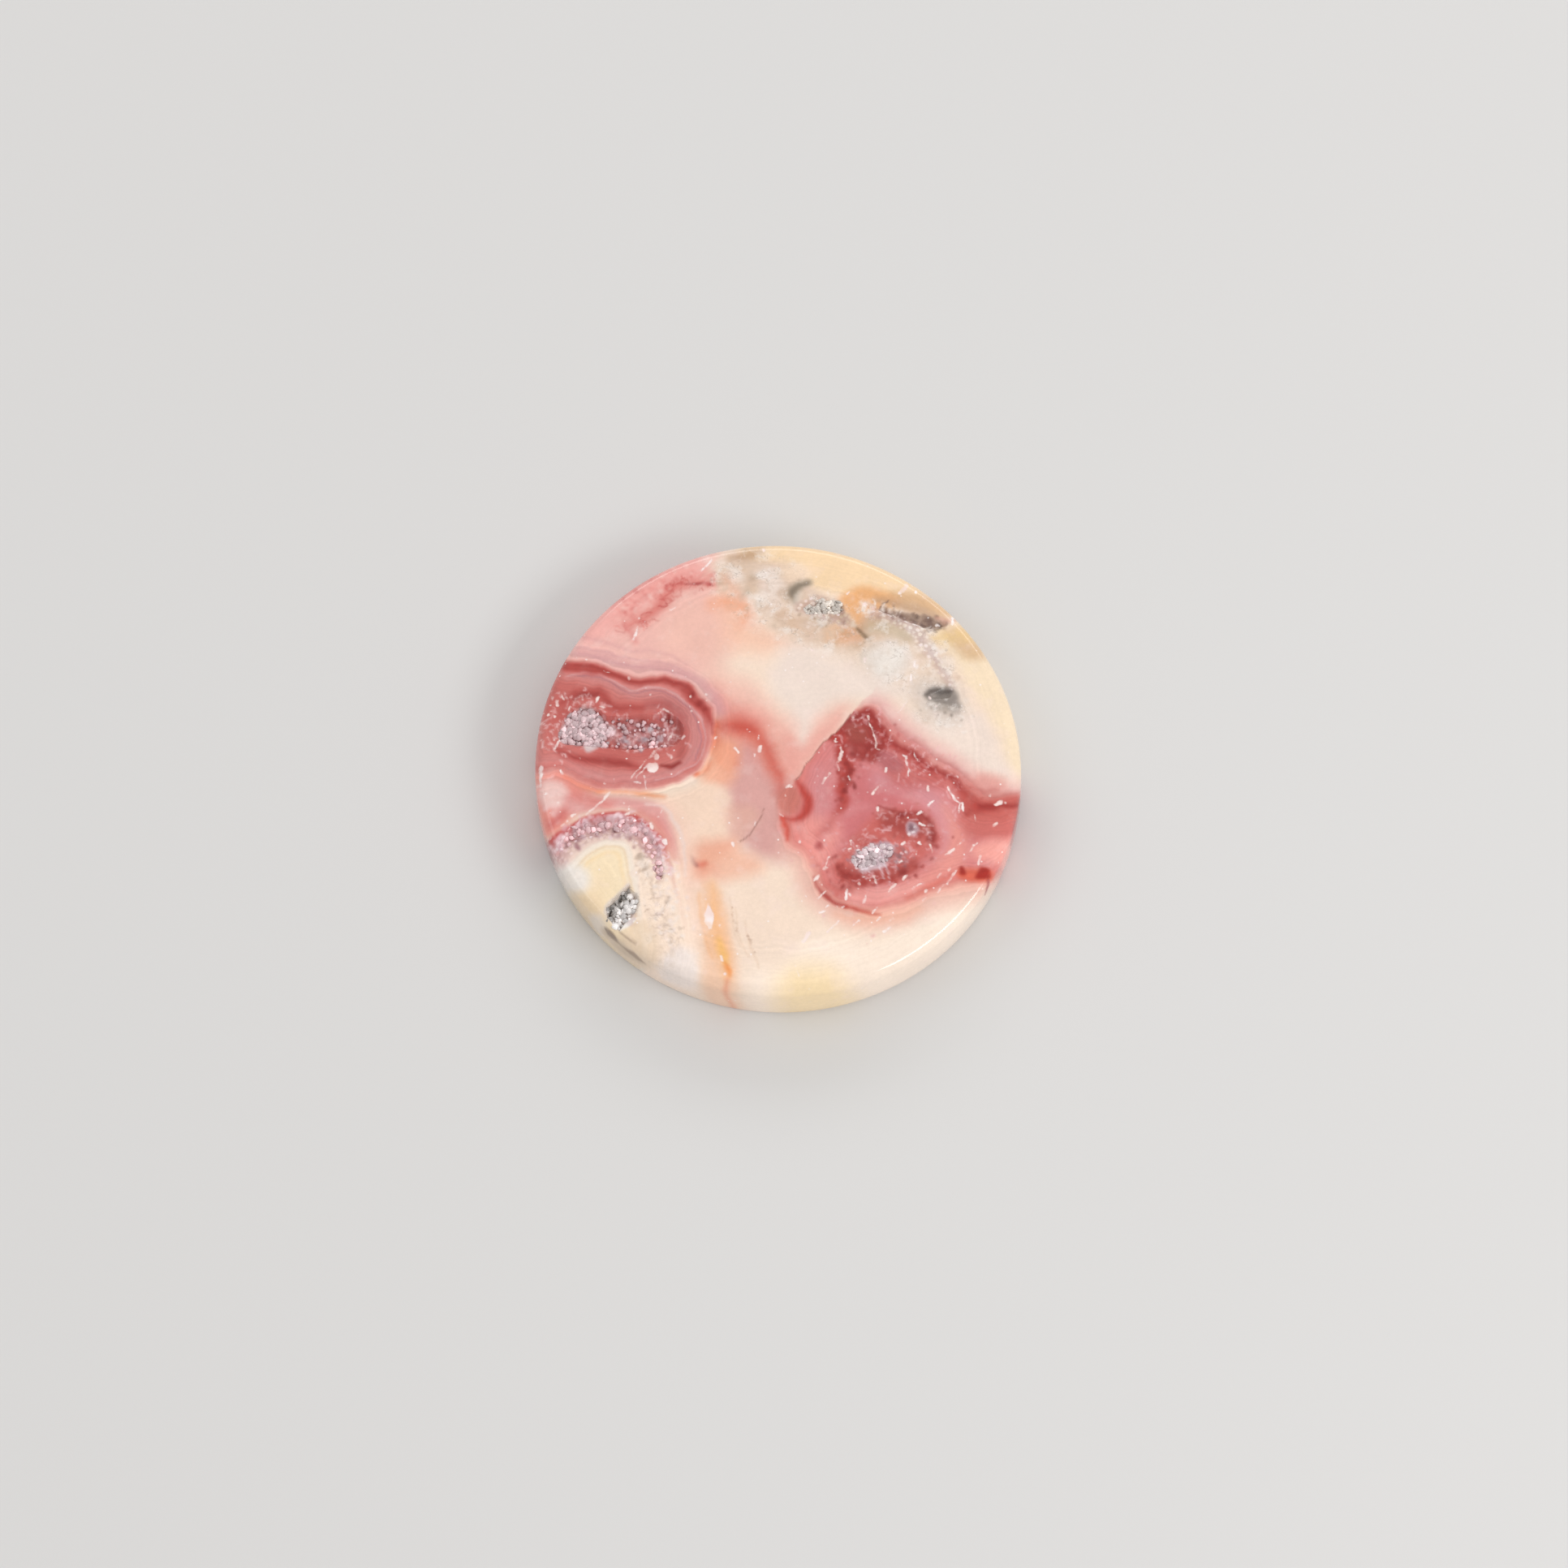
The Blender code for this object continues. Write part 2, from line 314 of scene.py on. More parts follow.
class Painter:
    """Paints the markings onto points of the stone, each new one over those before it."""

    def __init__(self, plan):
        self.plan = plan
        self.colours = np.tile(linear(CREAM), (len(plan), 1))
        self.keep = np.ones(len(plan))

    def near(self, points, reach):
        """The points within reach of a marking's own box, to save time."""
        low = points[:, :2].min(axis=0) - reach
        high = points[:, :2].max(axis=0) + reach
        return np.flatnonzero(((self.plan > low) & (self.plan < high)).all(axis=1))

    def lay(self, where, share, colour):
        """Lays one colour over some of the points, by a share for each."""
        share = (share * self.keep[where])[:, None]
        self.colours[where] += share * (linear(colour) - self.colours[where])

    def area(self, colour, strength, softness, points):
        """One colour inside a smooth closed outline."""
        outline = smooth_line(points, closed=True)
        where = self.near(outline, softness)
        depth = depth_in_outline(self.plan[where], outline)
        self.lay(where, strength * fade(depth, softness), colour)

    def vein(self, colour, strength, softness, points):
        """One colour along a smooth line of (x, y, half width)."""
        chain = smooth_line(points, steps=4)
        where = self.near(chain, softness + chain[:, 2].max())
        depth = depth_in_chain(self.plan[where], chain)
        self.lay(where, strength * fade(depth, softness), colour)

    def spots(self, colour, strength, softness, points):
        """Round spots of one colour, each (x, y, radius)."""
        for x, y, r in points:
            self.vein(colour, strength, softness, [(x - 0.01, y, r), (x, y, r)])

    def granules(self, colours, strength, count, spread, sizes, line, seed):
        """Small spots scattered at random about a line."""
        rng = random.Random(seed)
        line = smooth_line(line)
        for _ in range(count):
            x, y = line[rng.randrange(len(line))]
            x += rng.gauss(0.0, spread)
            y += rng.gauss(0.0, spread)
            r = rng.uniform(*sizes)
            turn = rng.uniform(0.0, math.pi)
            step = rng.uniform(0.0, 1.2) * r
            chain = [(x, y, r), (x + step * math.cos(turn), y + step * math.sin(turn), 0.7 * r)]
            self.vein(rng.choice(colours), strength * rng.uniform(0.4, 1.0), 0.12 + 0.8 * r, chain)

    def curls(self, colours, strength, count, spread, length, line, seed):
        """Short crooked strokes scattered at random about a line."""
        rng = random.Random(seed)
        line = smooth_line(line)
        for _ in range(count):
            x, y = line[rng.randrange(len(line))]
            x += rng.gauss(0.0, spread)
            y += rng.gauss(0.0, spread)
            turn = rng.uniform(0.0, 2.0 * math.pi)
            step = 0.25 * length * rng.uniform(0.4, 1.3)
            chain = []
            for _ in range(5):
                chain.append((x, y, rng.uniform(0.02, 0.06)))
                turn += rng.uniform(-1.1, 1.1)
                x += step * math.cos(turn)
                y += step * math.sin(turn)
            self.vein(rng.choice(colours), strength * rng.uniform(0.5, 1.0), 0.12, chain)

    def bands(self, strength, softness, points, stops):
        """Colours that change with the depth inside an outline: stops of (depth, colour)."""
        outline = smooth_line(points, closed=True)
        where = self.near(outline, softness)
        depth = depth_in_outline(self.plan[where], outline)
        share = (strength * fade(depth, softness) * self.keep[where])[:, None]
        depths = [stop[0] for stop in stops]
        seen = np.array([linear(stop[1]) for stop in stops])
        laid = np.column_stack([np.interp(depth, depths, seen[:, i]) for i in range(3)])
        self.colours[where] += share * (laid - self.colours[where])


LEFT_EYE = [
    (-13.0, 6.9), (-11.9, 6.75), (-10.9, 6.55), (-10.2, 6.2), (-9.4, 5.85), (-8.6, 5.65), (-7.3, 5.75),
    (-6.6, 5.65), (-5.9, 5.3), (-5.3, 4.85), (-4.8, 4.3), (-4.3, 3.7), (-4.0, 2.9), (-4.0, 1.9),
    (-4.1, 0.9), (-4.4, 0.1), (-4.95, -0.7), (-5.8, -1.3), (-7.2, -1.75), (-9.0, -1.9), (-10.8, -1.8),
    (-12.2, -1.3), (-13.5, -0.6), (-15.5, -0.4), (-16.5, 4.0), (-15.5, 7.1),
]
RED_LOBE = [
    (3.8, 3.7), (5.1, 3.4), (5.65, 3.6), (6.3, 3.1), (6.9, 2.2), (7.6, 1.5), (8.6, 0.9), (9.4, 0.1),
    (10.3, -0.4), (11.1, -0.9), (11.8, -1.6), (12.4, -2.3), (13.3, -2.5), (15.5, -2.4), (16, -5),
    (14.6, -7), (12.9, -8.0), (11.2, -8.2), (9.6, -8.6), (8.0, -9.3), (6.0, -9.9), (4.7, -9.6), (3.3, -9.1),
    (2.4, -8.4), (2.0, -7.3), (1.5, -6.3), (0.6, -5.4), (0.2, -4.0), (0.4, -2.2), (0.6, -1.0), (1.8, 1.3),
]
ARCH_BELT = [
    (-15.0, -6.8), (-14.1, -5.2), (-13.1, -4.25), (-11.8, -3.6), (-10.4, -3.25), (-8.9, -3.4), (-7.8, -4.1),
    (-7.0, -5.2), (-6.6, -6.4), (-6.2, -7.8), (-5.8, -9.2), (-5.5, -11), (-5.4, -12.8), (-6.2, -14.4),
    (-9.5, -20), (-20, -20), (-22, -9),
]
ARCH_CORE = [
    (-12.7, -6.7), (-12.0, -5.9), (-11.2, -5.4), (-10.4, -5.15), (-9.7, -5.2), (-9.1, -5.6), (-8.8, -6.3),
    (-8.6, -7.2), (-8.4, -8.1), (-8.2, -9.5), (-8.0, -11), (-7.9, -12.6), (-9.0, -15), (-13, -15),
    (-16, -10), (-13.6, -7.6),
]
FRACTURE = [(4.5, 3.05), (3.6, 2.0), (2.6, 0.8), (2.0, 0.1), (1.3, -0.9), (0.95, -1.35)]


def paint_left_eye(p):
    """The banded oval eye at the left, with silvery quartz in its heart."""
    p.vein((226, 176, 178), 0.8, 1.0, [
        (-12.4, 7.4, 0.2), (-10.6, 6.95, 0.25), (-9.0, 6.3, 0.25), (-7.4, 6.3, 0.25), (-6.2, 5.9, 0.35),
        (-5.0, 5.2, 0.45), (-4.2, 4.4, 0.5), (-3.6, 3.4, 0.4),
    ])
    p.bands(1.0, 0.4, LEFT_EYE, [
        (0.0, (224, 164, 158)), (0.45, (218, 138, 132)), (0.9, (218, 150, 146)), (1.5, (216, 140, 134)),
        (2.2, (212, 126, 120)), (3.2, (206, 118, 112)),
    ])
    p.vein((208, 124, 118), 0.8, 0.9, [(-14.6, 5.2, 0.5), (-13.4, 5.0, 0.6), (-12.6, 5.1, 0.3)])
    p.vein((212, 152, 150), 0.6, 0.5, [
        (-13.05, 5.6, 0.08), (-12.4, 5.8, 0.12), (-11.6, 5.8, 0.16), (-10.9, 5.55, 0.2), (-10.3, 5.1, 0.22),
        (-9.6, 4.7, 0.28), (-9.0, 4.35, 0.3), (-8.4, 4.45, 0.34), (-7.6, 4.45, 0.34), (-6.9, 4.2, 0.32),
        (-6.3, 3.85, 0.32), (-5.8, 3.4, 0.32), (-5.35, 2.8, 0.32), (-5.1, 2.0, 0.32), (-5.05, 1.1, 0.32),
        (-5.3, 0.4, 0.3), (-5.9, -0.3, 0.3), (-6.8, -0.9, 0.3), (-8.4, -1.3, 0.28), (-10.2, -1.15, 0.26),
        (-11.6, -0.75, 0.24), (-12.8, -0.35, 0.15),
    ])
    p.vein((226, 190, 192), 0.55, 0.13, [
        (-13.05, 5.78, 0.03), (-12.4, 5.98, 0.05), (-11.6, 6.0, 0.05), (-10.9, 5.8, 0.05),
        (-10.3, 5.36, 0.05), (-9.6, 4.95, 0.05), (-9.05, 4.68, 0.05), (-8.4, 4.84, 0.06),
        (-7.6, 4.87, 0.06), (-6.85, 4.7, 0.06), (-6.2, 4.35, 0.07), (-5.65, 3.84, 0.08), (-5.1, 3.25, 0.07),
        (-4.65, 2.65, 0.07), (-4.5, 1.95, 0.06), (-4.5, 1.1, 0.05), (-4.8, 0.25, 0.05), (-5.35, -0.3, 0.05),
        (-6.4, -0.9, 0.04), (-7.4, -1.2, 0.03),
    ])
    p.vein((176, 128, 138), 0.6, 0.12, [
        (-12.4, 5.8, 0.03), (-11.6, 5.82, 0.04), (-10.9, 5.6, 0.04), (-10.2, 5.1, 0.04), (-9.1, 4.5, 0.04),
        (-7.7, 4.7, 0.04), (-6.4, 4.25, 0.05), (-5.5, 3.45, 0.05), (-4.9, 2.5, 0.05), (-4.75, 1.2, 0.05),
        (-5.2, 0.1, 0.04),
    ])
    p.vein((192, 86, 80), 0.92, 0.5, [
        (-14.4, 6.55, 0.34), (-13.0, 6.5, 0.36), (-11.9, 6.32, 0.36), (-10.95, 6.15, 0.32),
        (-10.2, 5.84, 0.28), (-9.4, 5.5, 0.22), (-8.6, 5.28, 0.2), (-8.0, 5.32, 0.2), (-7.25, 5.38, 0.22),
        (-6.6, 5.28, 0.25), (-6.0, 5.0, 0.28), (-5.5, 4.5, 0.36), (-5.1, 4.0, 0.4), (-4.6, 3.5, 0.34),
        (-4.25, 2.9, 0.24), (-4.05, 2.3, 0.12), (-4.0, 1.7, 0.06),
    ])
    p.vein((172, 66, 60), 0.6, 0.3, [
        (-12.6, 6.55, 0.04), (-11.4, 6.35, 0.08), (-10.4, 5.95, 0.08), (-9.4, 5.5, 0.06), (-8.2, 5.3, 0.05),
        (-6.9, 5.35, 0.07), (-6.0, 5.0, 0.1), (-5.3, 4.45, 0.1),
    ])
    p.spots(BLOOD_RED, 0.75, 0.4, [(-5.3, 4.35, 0.16), (-4.85, 3.8, 0.22), (-4.5, 3.45, 0.12)])
    p.vein((188, 86, 80), 0.85, 0.55, [
        (-13.4, 4.1, 0.12), (-12.6, 4.5, 0.25), (-11.8, 4.75, 0.3), (-11.0, 4.6, 0.28), (-10.4, 3.9, 0.25),
        (-9.6, 3.5, 0.2), (-8.4, 3.5, 0.16),
    ])
    p.vein((162, 62, 58), 0.7, 0.35, [(-12.6, 4.3, 0.08), (-11.9, 4.6, 0.14), (-11.2, 4.55, 0.12)])
    p.vein((190, 88, 84), 0.85, 0.6, [
        (-13.7, 1.05, 0.14), (-12.9, 0.55, 0.26), (-11.8, 0.2, 0.28), (-10.6, 0.05, 0.3),
        (-9.5, -0.2, 0.32), (-8.7, -0.4, 0.24), (-8.0, -0.5, 0.1),
    ])
    p.vein((168, 66, 60), 0.6, 0.4, [
        (-12.6, 0.45, 0.06), (-11.2, 0.15, 0.12), (-9.9, -0.1, 0.14), (-9.0, -0.3, 0.08),
    ])
    p.vein((190, 114, 114), 0.7, 0.8, [
        (-10.2, 2.3, 0.5), (-9.2, 2.0, 0.8), (-8, 1.8, 0.9), (-7, 2.0, 0.7),
    ])
    p.vein((200, 110, 104), 0.5, 0.9, [(-13.4, 3.4, 0.4), (-12.4, 3.8, 0.4), (-11.6, 3.8, 0.2)])
    p.vein((180, 98, 98), 0.65, 0.8, [
        (-8.0, 3.7, 0.2), (-7.2, 3.8, 0.3), (-6.5, 3.5, 0.35), (-5.9, 2.8, 0.3), (-5.7, 1.8, 0.2),
    ])
    p.vein((190, 104, 98), 0.7, 0.5, [(-6.1, 2.4, 0.2), (-5.85, 1.3, 0.3), (-6.0, 0.4, 0.25)])
    p.vein((160, 50, 46), 0.9, 0.28, [(-7.1, -0.22, 0.1), (-6.6, -0.28, 0.16), (-6.05, -0.06, 0.12)])
    p.vein((150, 46, 46), 0.75, 0.25, [(-7.1, 3.15, 0.08), (-6.75, 3.0, 0.2), (-6.55, 2.5, 0.1)])
    p.curls([(250, 222, 222), (240, 200, 202), (206, 140, 142)], 0.75, 130, 0.5, 0.5, [
        (-11.0, 3.4), (-10.0, 2.4), (-9.0, 2.2), (-8.0, 2.2), (-7.0, 2.6), (-6.6, 1.4), (-8.0, 1.4),
        (-9.4, 1.6),
    ], 127)
    p.curls([(250, 226, 226), (244, 206, 206)], 0.7, 60, 0.45, 0.45, [
        (-13.4, 4.6), (-12.2, 4.2), (-11.2, 4.0), (-13.6, 2.8), (-13.8, 1.4), (-13.2, 0.8),
    ], 128)
    silver_grains = [(206, 206, 216), (238, 234, 240), (150, 132, 144)]
    for x, y, r in (
        (-9.4, 1.5, 0.26), (-8.2, 1.55, 0.22), (-7.35, 1.65, 0.26), (-7.8, 2.3, 0.14), (-8.35, 0.85, 0.1),
        (-10.4, 2.1, 0.2),
    ):
        point = [(x, y), (x + 0.01, y)]
        p.granules(silver_grains, 0.9, 12, 0.6 * r, (0.05, 0.11), point, round(100 * y))
    for gap, softness in ((0.6, 0.3), (1.1, 0.2), (1.75, 0.5)):
        p.vein((214, 168, 172), 0.4, softness, [
            (-13.4, 6.7 + gap, 0.03), (-11.9, 6.6 + gap, 0.1), (-10.4, 6.15 + gap, 0.08),
            (-9.2, 5.8 + gap, 0.1),
            (-8.0, 5.6 + gap, 0.04), (-6.8, 5.4 + gap, 0.06), (-5.6, 4.7 + gap, 0.02),
        ])
    p.area((226, 208, 208), 0.95, 0.3, [
        (-13.47, 1.84), (-13.14, 2.58), (-12.39, 3.4), (-11.93, 3.85), (-11.31, 3.54), (-10.76, 2.94),
        (-9.99, 2.51), (-9.9, 2.01), (-10.36, 1.68), (-10.89, 1.53), (-11.04, 0.95), (-11.65, 0.71),
        (-11.96, 1.22), (-12.58, 1.31), (-13.2, 1.5),
    ])


def paint_left_rim(p):
    """The pink and orange edge below the left eye."""
    p.vein((236, 140, 110), 0.85, 0.6, [
        (-12.9, -0.9, 0.1), (-12.2, -1.2, 0.22), (-11.5, -1.55, 0.3), (-10.8, -1.85, 0.22),
    ])
    p.vein((240, 168, 126), 0.85, 0.5, [
        (-10.9, -1.85, 0.1), (-9.7, -2.0, 0.12), (-8.7, -2.05, 0.16), (-7.6, -2.2, 0.18), (-6.9, -2.4, 0.1),
    ])
    p.granules([(250, 226, 224), (244, 206, 204)], 0.8, 70, 0.4, (0.05, 0.18), [
        (-13.9, 4.4), (-14.1, 3.2), (-14.4, 0.6), (-14.2, -1.4), (-13.6, -2.4), (-13.9, -3.4),
    ], 113)
    p.spots((226, 120, 78), 0.85, 0.35, [(-4.95, -0.85, 0.16)])
    p.vein((236, 150, 116), 0.6, 0.6, [(-5.0, -0.9, 0.1), (-4.4, -0.6, 0.15), (-4.1, -0.2, 0.1)])
    p.vein((150, 62, 66), 0.6, 0.35, [(-14.9, 1.55, 0.1), (-14.2, 1.5, 0.1), (-13.6, 1.3, 0.05)])
    p.area((232, 176, 176), 0.8, 0.5, [(-14.7, 3.3), (-14.1, 3.3), (-13.7, 2.6), (-13.9, 1.7), (-14.8, 1.7)])
    p.vein((214, 128, 124), 0.8, 0.7, [
        (-13.9, -3.9, 0.3), (-13.3, -3.4, 0.3), (-12.6, -2.9, 0.2), (-12.1, -2.4, 0.1),
    ])
    p.area((242, 214, 208), 0.75, 0.6, [
        (-14.3, -1.2), (-13.3, -1.4), (-12.7, -2.2), (-13.3, -2.9), (-14.4, -2.6),
    ])


def paint_upper_left(p):
    """The pink field at the upper left and the red line in it."""
    p.vein((240, 172, 166), 0.6, 1.2, [
        (-9.2, 10.2, 0.2), (-8.6, 10.8, 0.4), (-7.8, 11.6, 0.5), (-6.3, 12.6, 0.4), (-4.6, 12.8, 0.3),
    ])
    p.vein((222, 128, 120), 0.8, 0.9, [
        (-9.3, 9.2, 0.12), (-8.4, 9.6, 0.22), (-7.5, 10.4, 0.28), (-6.9, 11.3, 0.28), (-6.0, 11.9, 0.28),
        (-4.9, 12.1, 0.26), (-4.0, 11.95, 0.16),
    ])
    p.curls([(206, 104, 98), (234, 160, 152), (198, 96, 92)], 0.7, 46, 0.22, 0.7, [
        (-9.2, 9.1), (-8.2, 9.7), (-7.3, 10.6), (-6.6, 11.6), (-5.6, 12.0), (-4.3, 12.0),
    ], 136)
    p.vein((170, 74, 74), 0.75, 0.18, [
        (-5.9, 11.95, 0.03), (-5.3, 12.05, 0.08), (-4.7, 12.05, 0.09), (-4.1, 11.85, 0.05),
    ])
    p.vein((226, 146, 142), 0.6, 0.5, [(-9.6, 9.2, 0.1), (-9.1, 8.6, 0.14), (-8.8, 8.1, 0.08)])
    p.granules([(248, 214, 206), (226, 142, 136), (214, 120, 116)], 0.45, 120, 0.55, (0.05, 0.2), [
        (-9.4, 10.0), (-8.8, 10.8), (-8.0, 11.4), (-7.0, 12.2), (-5.4, 12.6), (-4.2, 12.4),
    ], 120)
    p.vein((222, 142, 138), 0.7, 0.5, [
        (-10.4, 10.6, 0.1), (-9.6, 11.4, 0.16), (-8.4, 12.3, 0.14), (-7.2, 13.0, 0.08),
    ])
    p.vein((246, 180, 146), 0.75, 1.3, [
        (-4.0, 10.6, 0.3), (-3.0, 10.8, 0.5), (-2.0, 10.2, 0.4), (-2.2, 9.2, 0.2),
    ])


def paint_upper_right(p):
    """The cream and grey quartz at the top right, with its vugs and brown cleft."""
    p.vein((166, 154, 138), 0.85, 0.5, [
        (1.9, 12.1, 0.24), (1.6, 12.05, 0.34), (1.2, 11.8, 0.34), (0.9, 11.45, 0.42), (0.8, 11.15, 0.42),
        (0.95, 10.85, 0.24),
    ])
    p.vein((140, 126, 112), 0.6, 0.35, [
        (1.75, 12.05, 0.12), (1.3, 11.9, 0.08), (0.8, 11.4, 0.2), (0.8, 11.1, 0.14),
    ])
    quartz_grains = [(220, 194, 170), (204, 176, 152), (250, 240, 232), (250, 240, 234)]
    p.granules(quartz_grains, 0.4, 190, 0.7, (0.1, 0.4), [
        (-3.4, 12.6), (-1.8, 11.6), (-0.4, 10.2), (1.6, 9.6), (4.0, 9.0), (6.4, 9.0), (8.6, 8.2),
        (9.8, 6.4), (10.2, 4.2),
    ], 101)
    p.granules([(250, 240, 236)], 0.8, 60, 0.22, (0.04, 0.12), [
        (5.2, 10.6), (6.4, 10.2), (7.6, 9.55), (8.6, 8.9), (9.4, 8.0), (9.75, 7.1), (10.3, 6.2),
        (10.6, 5.2),
    ], 102)
    p.granules([(250, 240, 236)], 0.8, 24, 0.2, (0.04, 0.11), [
        (8.5, 6.8), (8.3, 6.2), (8.0, 5.5), (8.1, 5.0),
    ], 103)
    p.spots((204, 186, 168), 0.6, 0.5, [
        (-3.6, 12.1, 0.15), (-2.3, 11.2, 0.15), (-1.9, 11.5, 0.25), (-1.3, 10.5, 0.16), (-1.6, 12.5, 0.2),
        (0.3, 9.3, 0.15), (-0.2, 9.0, 0.12), (-2.0, 10.3, 0.12),
    ])
    p.vein((212, 188, 168), 0.6, 0.8, [(1.2, 9.3, 0.2), (2.2, 9.3, 0.35), (3.2, 9.6, 0.25)])
    p.vein((236, 190, 168), 0.6, 1.0, [(-3.3, 12.4, 0.3), (-2.8, 11.8, 0.4), (-2.4, 11.0, 0.3)])
    p.area((226, 198, 176), 0.55, 1.4, [
        (-1.0, 10.4), (0.4, 10.8), (1.6, 9.2), (3.4, 8.8), (3.0, 8.2), (1.4, 8.3), (0.0, 9.0),
    ])
    p.area((222, 194, 172), 0.5, 1.2, [(5.6, 9.3), (6.8, 9.4), (7.6, 8.8), (7.0, 8.2), (5.8, 8.4)])
    p.vein((202, 170, 142), 0.85, 0.9, [(-3.0, 13.8, 0.2), (-2.0, 14.0, 0.35), (-1.2, 14.3, 0.2)])
    p.area((250, 228, 206), 0.8, 0.9, [(0.2, 13.2), (1.6, 13.4), (2.3, 12.6), (1.4, 12.3), (0.5, 12.4)])
    p.area((222, 186, 150), 0.8, 0.9, [
        (6.8, 11.3), (8.4, 11.5), (10.2, 10.6), (10.7, 9.9), (9.2, 10.1), (7.4, 10.7),
    ])
    p.area((224, 192, 154), 0.8, 1.0, [
        (10.4, 8.9), (11.4, 9.1), (12.5, 8.0), (12.7, 7.0), (11.6, 7.0), (10.8, 7.8),
    ])
    p.area((216, 172, 138), 0.7, 0.9, [(4.8, 9.9), (5.8, 10.0), (6.4, 9.4), (5.8, 8.9), (5.0, 9.2)])
    p.vein((188, 168, 154), 0.85, 0.4, [
        (1.8, 10.2, 0.15), (2.7, 10.4, 0.35), (3.6, 10.3, 0.35), (3.9, 10.0, 0.2),
    ])
    p.area((240, 188, 136), 0.8, 1.0, [
        (3.9, 10.9), (4.5, 11.5), (5.6, 11.75), (6.6, 11.4), (7.3, 10.8), (6.4, 10.5), (5.4, 10.4),
        (5.3, 9.7), (5.0, 9.2), (4.6, 9.7),
    ])
    p.area((226, 176, 138), 0.7, 0.8, [
        (3.9, 9.0), (4.7, 9.3), (5.2, 8.8), (5.1, 8.2), (4.3, 8.0), (3.7, 8.3),
    ])
    p.vein((186, 160, 134), 0.6, 0.5, [
        (3.3, 9.95, 0.12), (3.99, 9.75, 0.14), (4.6, 9.35, 0.1), (5.0, 9.0, 0.16),
    ])
    p.vein((142, 118, 94), 0.85, 0.3, [(4.95, 9.0, 0.04), (5.15, 8.8, 0.14), (5.45, 8.45, 0.16)])
    p.granules([(160, 136, 112), (196, 172, 146), (236, 222, 208)], 0.6, 60, 0.35, (0.05, 0.16), [
        (1.4, 9.6), (2.6, 9.6), (3.8, 9.4), (4.8, 8.9), (5.4, 8.4),
    ], 121)
    p.vein((206, 174, 146), 0.8, 0.7, [
        (6.2, 10.9, 0.2), (7.4, 10.6, 0.3), (8.6, 10.2, 0.35), (9.6, 9.9, 0.25), (10.4, 9.6, 0.1),
    ])
    p.vein((166, 140, 124), 0.85, 0.4, [
        (6.4, 10.25, 0.08), (7.1, 9.95, 0.12), (8.0, 9.75, 0.22), (8.8, 9.45, 0.34), (9.3, 9.35, 0.4),
        (9.9, 9.2, 0.2),
    ])
    cleft_grains = [(140, 114, 102), (118, 94, 84), (196, 170, 152), (168, 142, 126)]
    p.granules(cleft_grains, 0.85, 110, 0.2, (0.05, 0.16), [
        (6.4, 10.2), (7.4, 9.85), (8.4, 9.5), (9.2, 9.35), (9.8, 9.25), (10.2, 9.3),
    ], 122)
    p.curls([(112, 88, 82), (132, 106, 96)], 0.8, 16, 0.1, 0.7, [
        (6.2, 10.2), (7.3, 9.7), (8.3, 9.2), (9.4, 8.9), (10.3, 9.15),
    ], 123)
    p.curls([(252, 244, 238), (246, 232, 222)], 0.9, 34, 0.14, 0.6, [
        (5.3, 10.6), (6.2, 10.3), (7.2, 9.75), (8.2, 9.25), (8.9, 8.7),
    ], 124)
    p.spots((146, 120, 110), 0.7, 0.4, [(9.35, 9.45, 0.3)])
    p.vein((222, 176, 160), 0.6, 0.4, [(9.9, 9.7, 0.15), (10.5, 9.5, 0.2), (11.1, 9.6, 0.1)])
    p.area((206, 192, 168), 0.6, 0.9, [
        (5.6, 9.6), (6.8, 9.6), (8.0, 9.0), (8.4, 8.2), (7.4, 8.2), (6.2, 8.6), (5.6, 8.8),
    ])
    p.vein((240, 212, 162), 0.65, 0.9, [
        (9.4, 8.3, 0.15), (10.2, 8.4, 0.4), (11.2, 8.6, 0.4), (12.0, 8.4, 0.2),
    ])
    p.vein((238, 226, 216), 0.75, 0.5, [
        (7.6, 9.5, 0.12), (8.2, 9.0, 0.2), (8.8, 8.6, 0.25), (9.4, 7.9, 0.25), (9.7, 7.1, 0.2),
        (10.3, 6.3, 0.18), (10.6, 5.4, 0.12),
    ])
    p.area((236, 228, 221), 0.85, 1.0, [
        (5.28, 7.05), (5.78, 7.61), (6.99, 7.85), (7.89, 7.41), (7.98, 6.53), (7.37, 5.74), (6.37, 5.62),
        (5.6, 6.2),
    ])
    p.area((242, 235, 228), 0.8, 0.6, [(6.0, 6.1), (6.6, 7.3), (7.3, 7.6), (7.6, 6.9), (6.8, 5.9)])
    p.vein((206, 196, 186), 0.35, 0.4, [
        (5.2, 6.6, 0.04), (5.3, 7.3, 0.08), (5.9, 7.8, 0.1), (6.9, 8.0, 0.08), (7.8, 7.7, 0.04),
    ])
    p.area((224, 214, 207), 0.7, 1.3, [
        (8.2, 5.2), (9.4, 5.5), (10.8, 5.2), (11.6, 3.9), (11.2, 2.7), (9.6, 2.6), (8.6, 3.6),
    ])
    p.area((156, 147, 141), 0.92, 0.45, [
        (9.0, 4.35), (9.5, 4.95), (10.3, 5.15), (10.9, 4.8), (11.3, 3.7), (10.6, 3.75), (9.8, 3.95),
    ])
    p.vein((108, 98, 92), 0.8, 0.3, [
        (9.15, 4.45, 0.05), (9.55, 4.75, 0.14), (10.1, 4.85, 0.18), (10.7, 4.75, 0.06),
    ])
    p.granules([(250, 244, 240), (140, 130, 124)], 0.7, 40, 0.5, (0.03, 0.08), [
        (9.2, 4.2), (9.8, 3.5), (10.8, 3.2), (11.4, 2.8),
    ], 104)
    p.vein((176, 166, 158), 0.7, 0.6, [(9.4, 3.8, 0.1), (10.2, 3.6, 0.3), (11.0, 3.5, 0.25)])
